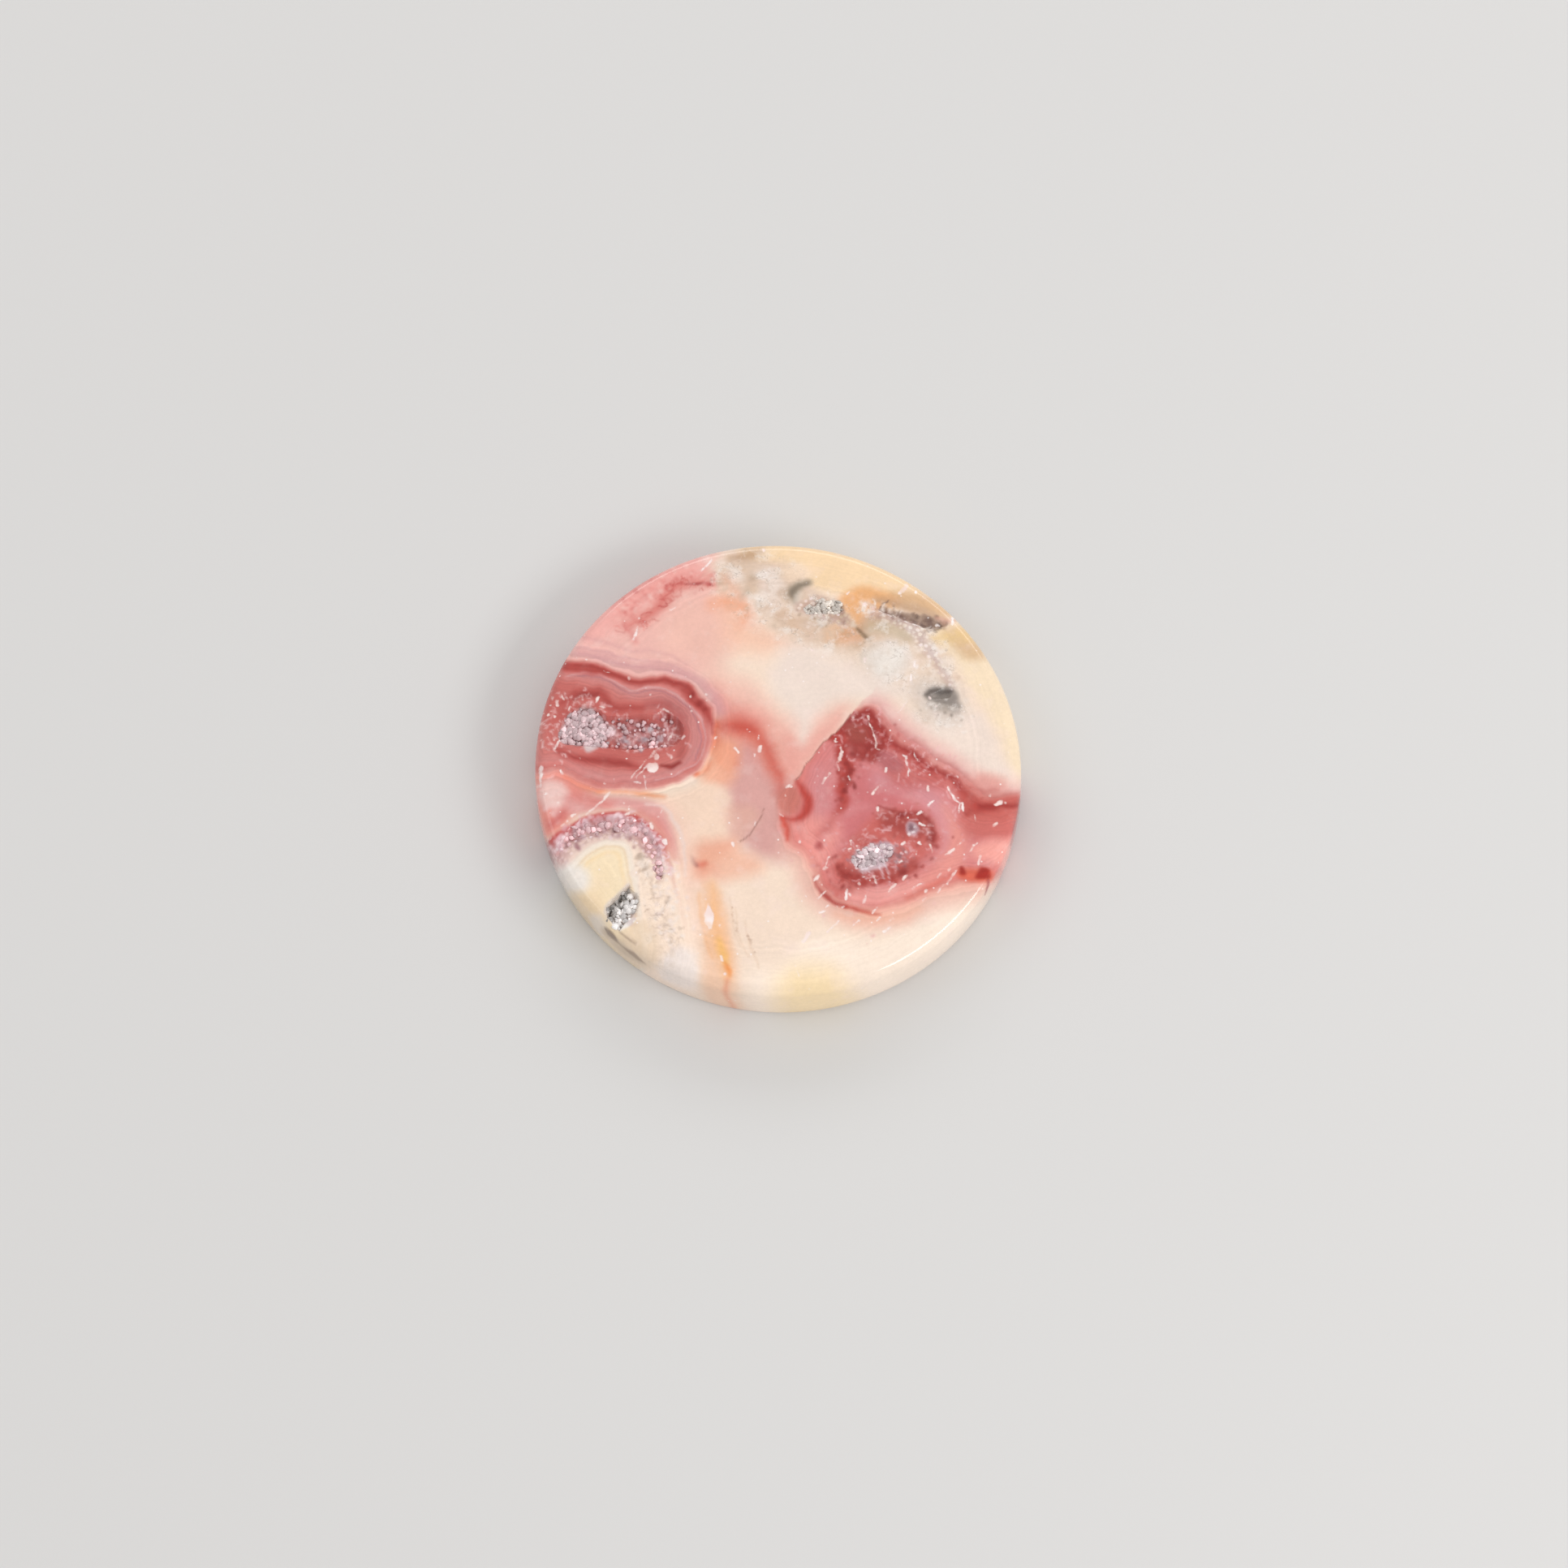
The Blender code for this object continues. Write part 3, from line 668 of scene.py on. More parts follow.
    p.spots((128, 118, 112), 0.75, 0.22, [(10.7, 3.15, 0.1), (10.3, 3.3, 0.05)])


def paint_middle(p):
    """The salmon hook and the mauve and cream fields in the middle."""
    p.area((240, 188, 176), 0.9, 1.2, [
        (-3.9, 3.3), (-2.8, 3.7), (-1.5, 3.6), (-0.4, 2.9), (0.4, 1.9), (1.0, 0.6), (1.3, -0.8),
        (0.4, -2.2), (-1, -1), (-2, 0), (-4, 0.4), (-4.2, 2),
    ])
    p.area((228, 152, 142), 0.7, 1.6, [
        (-4.4, 5.0), (-3.6, 4.8), (-2.8, 3.8), (-1.6, 3.2), (-0.8, 2.6), (-1.2, 2.3), (-3.0, 2.6),
        (-4.4, 3.4),
    ])
    p.area((238, 178, 168), 0.7, 1.2, [
        (0.6, 1.6), (1.6, 1.2), (2.6, 2.0), (3.8, 3.0), (3.2, 1.4), (1.8, -0.4), (1.0, -1.4), (0.3, -0.4),
    ])
    p.area((222, 172, 168), 0.9, 1.8, [
        (-3.3, 1.2), (-2, 1.4), (-0.8, 0.6), (0.2, -1.2), (1.0, -1.5), (1.4, -4.2), (1.4, -6.0),
        (0.2, -6.5), (-1.4, -6.2), (-2.8, -4.6), (-3.2, -2.6), (-3.4, -0.6),
    ])
    p.vein((226, 128, 106), 0.7, 1.6, [
        (-3.4, 2.0, 0.3), (-2.2, 1.8, 0.5), (-1.2, 1.2, 0.4), (-0.5, 0.0, 0.3), (-0.1, -1.2, 0.2),
    ])
    p.vein((212, 98, 82), 0.75, 1.3, [
        (-3.6, 2.2, 0.25), (-2.9, 2.3, 0.45), (-2.1, 2.3, 0.5), (-1.4, 1.9, 0.42), (-0.9, 1.2, 0.32),
        (-0.4, 0.3, 0.28), (-0.1, -0.6, 0.26), (0.1, -1.4, 0.22), (0.0, -2.1, 0.1),
    ])
    p.vein((206, 84, 70), 0.5, 0.8, [(-2.7, 2.15, 0.15), (-2.0, 2.2, 0.25), (-1.5, 1.9, 0.12)])
    p.vein((228, 130, 104), 0.8, 0.6, [
        (-3.75, 2.4, 0.2), (-3.85, 1.5, 0.25), (-3.8, 0.7, 0.25), (-3.5, 0.1, 0.2),
    ])
    p.vein((226, 130, 104), 0.8, 1.1, [(-3.9, 1.2, 0.3), (-3.0, 0.6, 0.35), (-2.6, -0.2, 0.2)])
    p.vein((240, 150, 116), 0.6, 1.0, [
        (-4.0, 1.8, 0.2), (-3.8, 0.8, 0.3), (-3.5, 0.0, 0.3), (-3.0, -0.6, 0.1),
    ])
    p.area((246, 186, 158), 0.8, 1.2, [
        (-4.3, 0.6), (-3.2, 1.4), (-2.4, 1.0), (-2.4, -0.4), (-3, -1.6), (-4.4, -1.6), (-4.8, -0.4),
    ])
    p.area((247, 222, 204), 0.95, 0.9, [
        (-7.2, -2.8), (-5.2, -1.8), (-3.8, -1.6), (-3.0, -2.4), (-2.9, -3.8), (-3.2, -5.0), (-4.6, -5.4),
        (-5.4, -4.6), (-6.2, -3.4),
    ])
    p.area((232, 190, 176), 0.7, 1.0, [
        (-3.1, -3.2), (-1.9, -3.0), (-1.2, -3.7), (-1.7, -4.7), (-2.5, -5.1), (-3.1, -4.4),
    ])
    p.area((242, 182, 158), 0.8, 1.3, [
        (-5.4, -5.4), (-4, -5.2), (-2.6, -5.2), (-2.6, -6.0), (-4, -6.8), (-5.0, -7.1), (-5.5, -6.4),
    ])
    p.area((245, 192, 168), 0.7, 1.3, [
        (-5.6, -6.2), (-3.6, -5.8), (-1.6, -6.2), (-1.0, -7.2), (-3.2, -7.9), (-5.4, -7.8),
    ])
    p.vein((234, 164, 140), 0.55, 1.2, [(-5.6, -6.7, 0.3), (-4.8, -7.2, 0.3), (-4.0, -7.0, 0.2)])
    p.vein((222, 122, 100), 0.75, 0.5, [(-5.1, -6.5, 0.15), (-4.7, -6.8, 0.2), (-4.3, -6.7, 0.1)])
    p.vein((160, 60, 52), 0.95, 0.24, [(-5.25, -6.2, 0.08), (-5.1, -6.55, 0.16), (-4.85, -6.85, 0.1)])


def paint_red_lobe(p):
    """The deep red and mauve lobe at the right, cut off along the fracture."""
    p.keep = fade(left_of(p.plan, FRACTURE), 0.1)
    p.area((238, 196, 192), 0.9, 1.6, [
        (5.2, 3.6), (6.0, 4.4), (7.4, 3.4), (8.6, 2.2), (9.8, 1.2), (11.0, 0.4), (12.2, -0.5), (13.4, -1.0),
        (15.5, -1.8), (15, -4), (9, -3), (5, 0),
    ])
    p.vein((240, 200, 188), 0.9, 1.6, [
        (0.6, -5.6, 0.5), (1.2, -6.8, 0.5), (1.7, -8.2, 0.5), (2.8, -9.4, 0.5), (4.6, -10.2, 0.5),
        (6.4, -10.3, 0.5), (8.2, -9.8, 0.5), (10, -9.1, 0.5), (12, -8.5, 0.4),
    ])
    p.bands(1.0, 1.4, RED_LOBE, [
        (0.0, (232, 160, 150)), (0.6, (224, 144, 138)), (1.3, (224, 148, 146)), (2.3, (224, 154, 154)),
        (3.4, (216, 136, 138)),
    ])
    p.vein((222, 164, 170), 0.7, 1.4, [
        (6.2, -1.2, 0.5), (7.6, -1.5, 0.6), (9.0, -2.0, 0.6), (10.2, -3.4, 0.5),
    ])
    p.area((204, 110, 104), 0.7, 1.2, [
        (6.4, 0.0), (8.0, 0.2), (9.6, -0.7), (10.0, -1.7), (8.6, -1.8), (7.0, -1.5),
    ])
    p.area((240, 172, 162), 0.8, 1.3, [
        (10.0, -3.0), (11.0, -3.8), (11.6, -5.2), (11.2, -6.8), (9.6, -7.8), (8.6, -8.7), (6.4, -9.0),
        (7.4, -8.1), (9.2, -7.0), (10.0, -5.4),
    ])
    p.area((242, 172, 164), 0.75, 1.2, [
        (1.2, -4.4), (2.2, -3.6), (3.4, -4.0), (3.6, -5.2), (2.8, -6.6), (1.8, -6.4),
    ])
    p.vein((228, 168, 172), 0.6, 0.8, [
        (8.6, -2.3, 0.2), (9.3, -2.8, 0.3), (9.9, -3.6, 0.35), (10.1, -4.6, 0.3), (10.0, -5.6, 0.15),
    ])
    p.vein((226, 162, 164), 0.5, 0.8, [
        (2.4, -5.6, 0.2), (2.8, -4.8, 0.3), (3.4, -3.9, 0.3), (4.3, -3.2, 0.3), (5.4, -2.9, 0.2),
    ])
    p.vein((222, 160, 162), 0.6, 1.2, [(2.4, -0.8, 0.4), (2.7, -2.2, 0.6), (2.6, -3.4, 0.4)])
    p.vein((208, 130, 128), 0.75, 0.8, [
        (6.3, 3.2, 0.1), (7.0, 2.3, 0.25), (7.8, 1.6, 0.25), (8.8, 1.0, 0.25), (9.6, 0.3, 0.22),
        (10.6, -0.3, 0.2), (11.4, -1.0, 0.2), (12.2, -1.8, 0.1),
    ])
    p.vein((176, 62, 58), 0.95, 0.8, [
        (5.6, 3.2, 0.3), (6.2, 2.3, 0.4), (6.6, 1.5, 0.36), (7.4, 0.95, 0.34), (8.4, 0.4, 0.38),
        (9.0, -0.25, 0.34), (9.9, -0.75, 0.26), (10.7, -1.2, 0.28), (11.3, -1.85, 0.3), (11.8, -2.6, 0.26),
        (12.0, -3.2, 0.12),
    ])
    p.area((174, 66, 60), 0.95, 0.6, [
        (3.0, 1.5), (4.0, 2.8), (4.9, 3.3), (5.6, 3.4), (6.3, 2.4), (6.6, 1.2), (6.3, 0.2), (5.7, -0.1),
        (5.1, 0.3), (4.6, 0.2), (4.3, 0.9), (3.8, 1.2),
    ])
    p.vein((162, 58, 54), 0.65, 0.4, [
        (4.4, 2.6, 0.12), (5.3, 2.8, 0.16), (5.8, 1.9, 0.12), (5.9, 1.1, 0.2), (5.2, 0.7, 0.16),
    ])
    p.area((178, 98, 88), 0.7, 0.6, [(4.2, 2.15), (4.8, 2.4), (5.4, 2.1), (5.5, 1.4), (4.9, 1.2), (4.3, 1.5)])
    p.area((192, 122, 126), 0.75, 0.6, [
        (6.2, 0.6), (7.0, 0.5), (7.7, -0.1), (7.4, -0.7), (6.6, -0.6), (6.0, -0.1),
    ])
    p.vein((190, 78, 70), 0.95, 0.55, [
        (3.4, 1.8, 0.3), (3.8, 1.2, 0.4), (4.0, 0.3, 0.4), (4.3, -0.4, 0.42), (4.05, -1.1, 0.4),
        (3.8, -1.9, 0.28), (4.05, -2.7, 0.26), (3.6, -3.5, 0.12),
    ])
    p.granules([(150, 46, 42), (176, 70, 64), (206, 112, 106)], 0.7, 70, 0.3, (0.05, 0.18), [
        (3.4, 1.6), (4.0, 0.6), (4.2, -0.4), (4.1, -1.4), (4.0, -2.6), (5.2, 0.4), (5.8, 0.2),
    ], 135)
    p.vein((160, 54, 50), 0.65, 0.35, [
        (4.25, 0.1, 0.06), (4.35, -0.6, 0.16), (4.2, -1.2, 0.14), (4.1, -2.1, 0.05),
    ])
    p.vein((206, 120, 114), 0.7, 0.8, [(3.7, -3.4, 0.14), (3.1, -4.3, 0.2), (2.4, -4.9, 0.12)])
    p.granules([(240, 200, 204), (232, 178, 182)], 0.6, 170, 1.1, (0.03, 0.08), [
        (3.0, -1.0), (4.8, 0.0), (6.6, -0.6), (8.6, -1.6), (10.4, -3.0), (10.8, -5.0), (9.4, -6.6),
        (7.2, -8.4), (4.8, -9.0), (3.0, -7.4), (2.4, -4.6),
    ], 105)
    p.curls([(246, 206, 208), (236, 186, 188)], 0.6, 90, 0.5, 0.5, [
        (3.4, 1.2), (4.4, 2.6), (5.6, 2.6), (6.4, 1.2), (7.6, 0.6), (8.8, 0.0), (10.2, -1.0), (11.2, -2.2),
        (11.6, -3.6),
    ], 125)
    p.granules([(176, 76, 74), (200, 106, 102), (230, 160, 158)], 0.5, 110, 0.45, (0.05, 0.13), [
        (5.8, 2.8), (6.6, 1.5), (8.4, 0.4), (9.6, -0.5), (10.8, -1.3), (11.8, -2.6),
    ], 106)
    p.keep = np.ones(len(p.plan))
    p.vein((198, 78, 66), 0.92, 0.5, [
        (1.1, -1.4, 0.14), (1.6, -2.1, 0.24), (1.9, -2.9, 0.28), (1.6, -3.6, 0.24), (0.9, -3.95, 0.15),
        (0.2, -3.75, 0.1),
    ])
    p.vein((214, 98, 82), 0.9, 0.4, [(0.25, -3.8, 0.12), (0.5, -4.5, 0.22), (0.6, -5.2, 0.1)])
    p.area((208, 134, 122), 0.8, 0.5, [
        (0.1, -2.0), (0.9, -1.8), (1.4, -2.5), (1.4, -3.2), (0.6, -3.6), (0.0, -3.1),
    ])
    p.area((200, 100, 92), 0.85, 0.9, [
        (11.2, -1.7), (12.6, -2.1), (15, -2.1), (15.4, -3.5), (13, -3.7), (11.4, -3.5),
    ])
    p.vein((174, 54, 48), 0.95, 0.45, [
        (11.5, -3.35, 0.16), (12.0, -3.25, 0.2), (12.4, -3.0, 0.3), (13.1, -2.95, 0.3), (13.6, -2.8, 0.14),
        (14.3, -2.9, 0.14), (15.2, -2.7, 0.1),
    ])
    p.vein((196, 84, 76), 0.85, 0.35, [(12.0, -2.7, 0.1), (11.98, -3.3, 0.14), (12.0, -3.9, 0.06)])
    p.area((226, 150, 140), 0.5, 1.0, [(11.7, -0.9), (13.2, -0.8), (14.0, -1.6), (12.8, -2.1), (11.7, -1.7)])
    p.vein((206, 128, 122), 0.6, 0.5, [(11.7, -1.5, 0.06), (12.4, -1.9, 0.14), (13.4, -1.8, 0.1)])
    p.area((214, 124, 116), 0.8, 1.0, [(11.2, -3.4), (14.5, -3.2), (16, -4.6), (13.6, -5.0), (11.6, -4.8)])
    p.area((250, 184, 174), 0.9, 1.0, [
        (12.0, -5.4), (13.8, -5.0), (15.5, -5.4), (14.6, -7.2), (12.9, -6.5), (12.0, -6.2),
    ])
    p.vein((150, 72, 76), 0.7, 0.4, [(14.9, -2.6, 0.15), (14.7, -4.0, 0.15), (14.3, -5.4, 0.1)])


def paint_right_eye(p):
    """The red-rimmed eye in the lower part of the lobe."""
    p.area((214, 122, 114), 0.85, 0.9, [
        (5.6, -3.8), (7.0, -3.15), (7.9, -3.25), (8.9, -3.5), (9.5, -4.2), (9.7, -5.1), (9.3, -5.9),
        (8.6, -6.5), (8.2, -7.2), (7.0, -7.6), (5.6, -7.9), (4.0, -8.1), (3.3, -7.3), (3.4, -6.4),
        (4.2, -5.6), (4.9, -4.6),
    ])
    p.area((180, 84, 78), 0.9, 0.9, [
        (6.2, -3.4), (7.6, -3.4), (8.9, -3.6), (9.2, -4.6), (8.6, -5.0), (7.2, -4.7), (6.2, -4.3),
    ])
    p.area((196, 108, 104), 0.6, 0.9, [(4.4, -5.0), (5.6, -4.9), (6.4, -5.0), (6.2, -5.6), (5.0, -5.6)])
    p.vein((178, 82, 78), 0.65, 0.9, [
        (4.6, -7.3, 0.3), (5.6, -7.2, 0.35), (6.6, -7.0, 0.35), (7.4, -6.9, 0.35), (8.2, -6.5, 0.2),
    ])
    p.vein((192, 98, 90), 0.6, 0.8, [(3.1, -8.1, 0.2), (4.0, -8.5, 0.3), (4.8, -8.6, 0.2)])
    p.vein((170, 68, 64), 0.9, 0.4, [
        (6.1, -2.95, 0.04), (6.8, -3.2, 0.1), (7.5, -3.55, 0.2), (8.1, -3.5, 0.1), (8.8, -3.5, 0.14),
        (9.25, -4.1, 0.14), (9.4, -4.8, 0.2), (9.3, -5.3, 0.16), (9.6, -5.6, 0.05),
    ])
    p.spots((160, 58, 56), 0.75, 0.35, [
        (7.5, -3.55, 0.18), (9.24, -4.67, 0.16), (9.15, -5.15, 0.16), (3.45, -6.3, 0.1),
    ])
    p.spots((190, 92, 90), 0.85, 0.4, [(2.48, -5.57, 0.24)])
    p.granules([(172, 84, 80), (222, 160, 156), (206, 130, 124)], 0.6, 170, 0.7, (0.04, 0.13), [
        (6.6, -4.0), (8.0, -4.0), (8.8, -5.0), (8.0, -6.0), (6.6, -5.0), (5.0, -5.0), (4.2, -6.4),
        (4.6, -7.6), (6.8, -7.2),
    ], 107)
    p.vein((174, 66, 58), 0.9, 0.7, [
        (3.6, -7.2, 0.1), (4.1, -7.5, 0.36), (4.7, -7.85, 0.34), (5.4, -8.0, 0.15),
    ])
    p.vein((184, 92, 86), 0.7, 0.8, [
        (5.2, -7.7, 0.25), (6.2, -7.6, 0.22), (7.0, -7.4, 0.24), (7.6, -7.15, 0.34), (8.3, -6.8, 0.2),
    ])
    p.granules([(164, 58, 52), (184, 78, 70), (206, 112, 104)], 0.75, 80, 0.22, (0.05, 0.2), [
        (3.6, -7.2), (4.4, -7.8), (5.4, -7.9), (6.4, -7.6), (7.2, -7.4), (8.0, -7.0), (8.6, -6.8),
    ], 134)
    p.spots((162, 60, 56), 0.7, 0.6, [(7.55, -7.2, 0.28), (4.1, -7.6, 0.16)])
    p.curls([(246, 212, 216), (234, 190, 194)], 0.6, 80, 0.5, 0.45, [
        (4.6, -6.0), (6.0, -4.6), (7.6, -4.2), (8.8, -4.6), (8.4, -5.8), (7.0, -6.8), (5.6, -7.6),
    ], 126)
    p.area((240, 178, 172), 0.8, 0.8, [
        (4.2, -8.7), (5.4, -8.3), (7.2, -8.1), (8.6, -7.8), (8.2, -8.6), (6.2, -9.3), (4.6, -9.2),
    ])
    p.vein((180, 70, 64), 0.92, 0.4, [
        (2.2, -7.6, 0.06), (2.45, -8.3, 0.08), (2.9, -8.8, 0.2), (3.4, -9.1, 0.16), (4.2, -9.35, 0.1),
    ])
    p.vein((196, 76, 60), 0.92, 0.35, [
        (4.1, -9.35, 0.1), (4.9, -9.65, 0.16), (5.6, -9.9, 0.12), (6.2, -10.0, 0.05),
    ])
    p.vein((245, 194, 170), 0.7, 1.3, [
        (3.6, -9.9, 0.1), (4.8, -10.2, 0.25), (6.2, -10.3, 0.25), (7.4, -10.0, 0.2), (8.4, -9.6, 0.1),
    ])
    p.vein((216, 120, 104), 0.6, 0.6, [
        (7.8, -8.9, 0.1), (8.8, -8.4, 0.16), (9.6, -7.9, 0.14), (10.6, -7.3, 0.1),
    ])
    p.area((226, 118, 92), 0.85, 0.5, [(11.0, -7.0), (12.8, -7.0), (13.0, -7.7), (12.0, -7.9), (11.0, -7.6)])
    p.vein((178, 50, 36), 0.92, 0.3, [(11.15, -6.95, 0.16), (11.25, -7.25, 0.2)])
    p.area((180, 46, 30), 0.95, 0.3, [
        (12.3, -6.9), (12.75, -6.95), (12.85, -7.5), (12.5, -7.65), (12.0, -7.6), (12.1, -7.2),
    ])
    p.vein((176, 92, 92), 0.85, 0.12, [(12.75, -7.7, 0.05), (12.72, -8.2, 0.07), (12.58, -8.7, 0.04)])
    p.area((232, 214, 220), 0.95, 0.3, [
        (4.59, -6.08), (5.39, -5.66), (5.98, -5.44), (6.77, -5.33), (7.1, -5.6), (6.6, -6.38), (6.36, -6.9),
        (5.67, -7.12), (5.08, -7.23), (4.69, -6.81),
    ])
    # The small hole: a lilac ring, its centre darkened as painted shade in the hollow, and white spots
    # painted as highlights
    p.spots((206, 182, 190), 0.85, 0.25, [(8.16, -4.42, 0.36)])
    p.spots((140, 98, 108), 0.85, 0.25, [(8.1, -4.36, 0.16)])
    p.spots((250, 240, 242), 0.9, 0.12, [(8.24, -4.6, 0.07), (8.02, -4.74, 0.09), (8.32, -4.3, 0.04)])
    p.granules([(248, 240, 246), (176, 152, 166), (200, 182, 192)], 0.8, 90, 0.4, (0.04, 0.12), [
        (5.0, -6.4), (5.8, -6.2), (6.6, -5.7),
    ], 108)
    p.granules([(150, 116, 122), (196, 160, 164)], 0.6, 50, 0.3, (0.04, 0.11), [
        (7.0, -5.6), (7.6, -6.2), (6.8, -6.6),
    ], 133)
    for x0, y0, x1, y1 in (
        (4.5, -5.3, 5.2, -7.6), (5.15, -5.5, 5.6, -7.4), (5.8, -5.4, 6.3, -7.6), (6.3, -5.4, 6.7, -8.0),
        (4.6, -6.2, 6.9, -5.4), (4.7, -6.8, 6.7, -6.0), (5.0, -7.1, 6.5, -6.5),
    ):
        p.vein((246, 236, 242), 0.6, 0.1, [(x0, y0, 0.03), (x1, y1, 0.02)])


def paint_arch(p):
    """The arch at the lower left: a quartz crust about a cream core, and the angular vug."""
    p.area((232, 178, 174), 1.0, 0.8, [
        (-13.0, -2.2), (-10.6, -2.2), (-8.4, -2.4), (-7.0, -2.9), (-6.1, -4.2), (-5.8, -6.4), (-6.4, -6.0),
        (-7.2, -4.6), (-8.2, -3.6), (-10, -3.1), (-12.6, -3.4),
    ])
    p.area((248, 218, 202), 0.85, 1.0, [
        (-7.0, -2.7), (-6.2, -2.9), (-5.3, -4.4), (-4.9, -6), (-4.9, -8), (-4.7, -11), (-5.2, -13),
        (-6.0, -11), (-6.1, -8.4), (-6.2, -6), (-6.4, -4.2),
    ])
    p.vein((226, 140, 132), 0.6, 1.0, [(-12.4, -2.2, 0.3), (-11.2, -2.5, 0.35), (-10.3, -2.8, 0.2)])
    p.vein((240, 226, 222), 0.6, 0.3, [
        (-8.0, -2.75, 0.05), (-6.9, -3.1, 0.08), (-6.1, -4.2, 0.1), (-5.7, -5.6, 0.1), (-5.6, -7.4, 0.06),
    ])
    p.vein((222, 206, 204), 0.6, 0.7, [
        (-12.4, -6.3, 0.2), (-11.4, -5.4, 0.3), (-10.2, -5.0, 0.3), (-9.0, -5.3, 0.3), (-8.2, -6.4, 0.2),
    ])
    p.vein((228, 152, 144), 0.75, 0.8, [
        (-8.4, -3.4, 0.2), (-7.4, -4.1, 0.3), (-6.9, -5.2, 0.3), (-6.4, -6.3, 0.15),
    ])
    p.bands(0.97, 0.3, ARCH_BELT, [
        (0.0, (216, 122, 118)), (0.2, (206, 100, 98)), (0.42, (206, 126, 128)), (0.75, (226, 174, 174)),
        (1.15, (234, 204, 198)), (2.0, (242, 222, 210)),
    ])
    p.area((255, 236, 220), 1.0, 1.6, [
        (-9.2, -5.6), (-8.0, -5.9), (-7.0, -6.2), (-6.0, -7.8), (-5.2, -10), (-4.8, -13.4), (-6.6, -16),
        (-10, -16), (-9.4, -12), (-9.4, -8),
    ])
    p.area((236, 208, 204), 0.85, 0.8, [
        (-14.4, -6.6), (-13.6, -6.0), (-12.9, -6.6), (-13.2, -7.6), (-14.4, -7.8),
    ])
    p.granules([(250, 226, 230), (236, 196, 204), (244, 214, 220)], 0.85, 110, 0.2, (0.06, 0.17), [
        (-13.6, -5.6), (-12.9, -4.7), (-11.8, -4.1), (-10.4, -3.8), (-9.0, -4.0), (-7.9, -4.7),
        (-7.3, -5.7), (-6.9, -6.8),
    ], 111)
    p.granules([(232, 208, 214), (170, 116, 126), (206, 176, 182)], 0.7, 130, 0.3, (0.05, 0.14), [
        (-13.4, -6.0), (-12.4, -5.1), (-11.2, -4.6), (-9.8, -4.5), (-8.6, -5.0), (-7.9, -6.2),
    ], 112)
    p.curls([(252, 230, 234), (244, 212, 220)], 0.85, 110, 0.28, 0.45, [
        (-13.7, -5.6), (-12.9, -4.8), (-11.8, -4.25), (-10.4, -3.95), (-9.0, -4.15), (-7.9, -4.9),
        (-7.2, -5.9), (-6.8, -7.2),
    ], 129)
    p.vein((140, 58, 64), 0.85, 0.35, [(-14.4, -5.0, 0.12), (-14.1, -5.8, 0.2), (-13.8, -6.6, 0.1)])
    p.granules([(200, 178, 162), (214, 196, 182), (188, 166, 152)], 0.4, 90, 0.4, (0.04, 0.1), [
        (-8.2, -6.0), (-7.7, -7.4), (-7.3, -8.9), (-6.9, -10.4), (-6.5, -11.8), (-6.3, -12.6),
    ], 109)
    p.granules([(248, 238, 232), (244, 230, 226)], 0.75, 150, 0.6, (0.04, 0.14), [
        (-8.0, -6.4), (-7.0, -7.8), (-6.6, -9.4), (-6.3, -11), (-6.2, -12.6), (-5.9, -13.4),
    ], 110)
    p.curls([(196, 174, 158), (184, 162, 146), (214, 196, 182)], 0.5, 70, 0.45, 0.5, [
        (-8.1, -6.4), (-7.6, -7.6), (-7.2, -9.0), (-6.9, -10.4), (-6.5, -11.8), (-6.3, -13.0),
    ], 130)
    p.bands(1.0, 0.25, ARCH_CORE, [
        (0.0, (240, 228, 217)), (0.26, (249, 237, 223)), (0.4, (242, 222, 196)), (0.54, (251, 236, 212)),
        (0.75, (247, 226, 193)), (1.0, (250, 233, 205)), (2.5, (248, 229, 199)),
    ])
    p.vein((212, 158, 150), 0.6, 0.6, [(-8.6, -5.0, 0.15), (-8.05, -5.6, 0.3), (-7.7, -6.4, 0.15)])
    p.area((244, 238, 233), 0.9, 0.9, [
        (-13.8, -7.4), (-12.6, -6.5), (-11.7, -6.9), (-11.5, -8.0), (-12.2, -8.7), (-13.4, -8.6),
    ])
    p.area((240, 219, 190), 0.8, 1.0, [
        (-13.0, -9.0), (-11.4, -8.6), (-10.4, -9.4), (-10.6, -10.4), (-12, -11.4),
    ])
    p.area((236, 228, 222), 0.7, 0.7, [
        (-11.6, -10.2), (-10.7, -9.9), (-10.3, -10.6), (-10.8, -11.4), (-11.4, -11.2),
    ])
    p.area((240, 220, 198), 0.85, 0.9, [
        (-9.3, -11.2), (-8.4, -10.2), (-7.6, -10.6), (-7.2, -12.6), (-8.2, -13.8), (-10, -13),
    ])
    p.area((226, 216, 208), 0.95, 0.2, VUG_OUTLINE)
    p.area((246, 242, 240), 0.95, 0.25, [
        (-9.5, -10.95), (-9.25, -10.45), (-8.85, -10.1), (-8.5, -10.15), (-8.9, -10.6),
    ])
    p.vein((240, 230, 220), 0.8, 0.3, [(-8.8, -8.9, 0.12), (-8.6, -9.3, 0.15), (-8.7, -9.8, 0.15)])
    p.spots((186, 166, 152), 0.7, 0.4, [
        (-8.4, -6.3, 0.22), (-8.1, -7.05, 0.18), (-6.65, -9.2, 0.12), (-6.6, -8.9, 0.08),
    ])
    p.spots((246, 230, 218), 0.85, 0.22, [(-8.35, -6.75, 0.2), (-7.85, -7.35, 0.24), (-8.7, -7.3, 0.2)])
    p.vein((214, 196, 176), 0.8, 0.5, [
        (-10.5, -11.0, 0.3), (-9.7, -12.0, 0.4), (-8.8, -12.8, 0.3), (-8.0, -13.2, 0.1),
    ])
    p.vein((150, 130, 114), 0.9, 0.2, [(-10.35, -10.75, 0.1), (-10.15, -11.1, 0.2), (-9.85, -11.5, 0.12)])
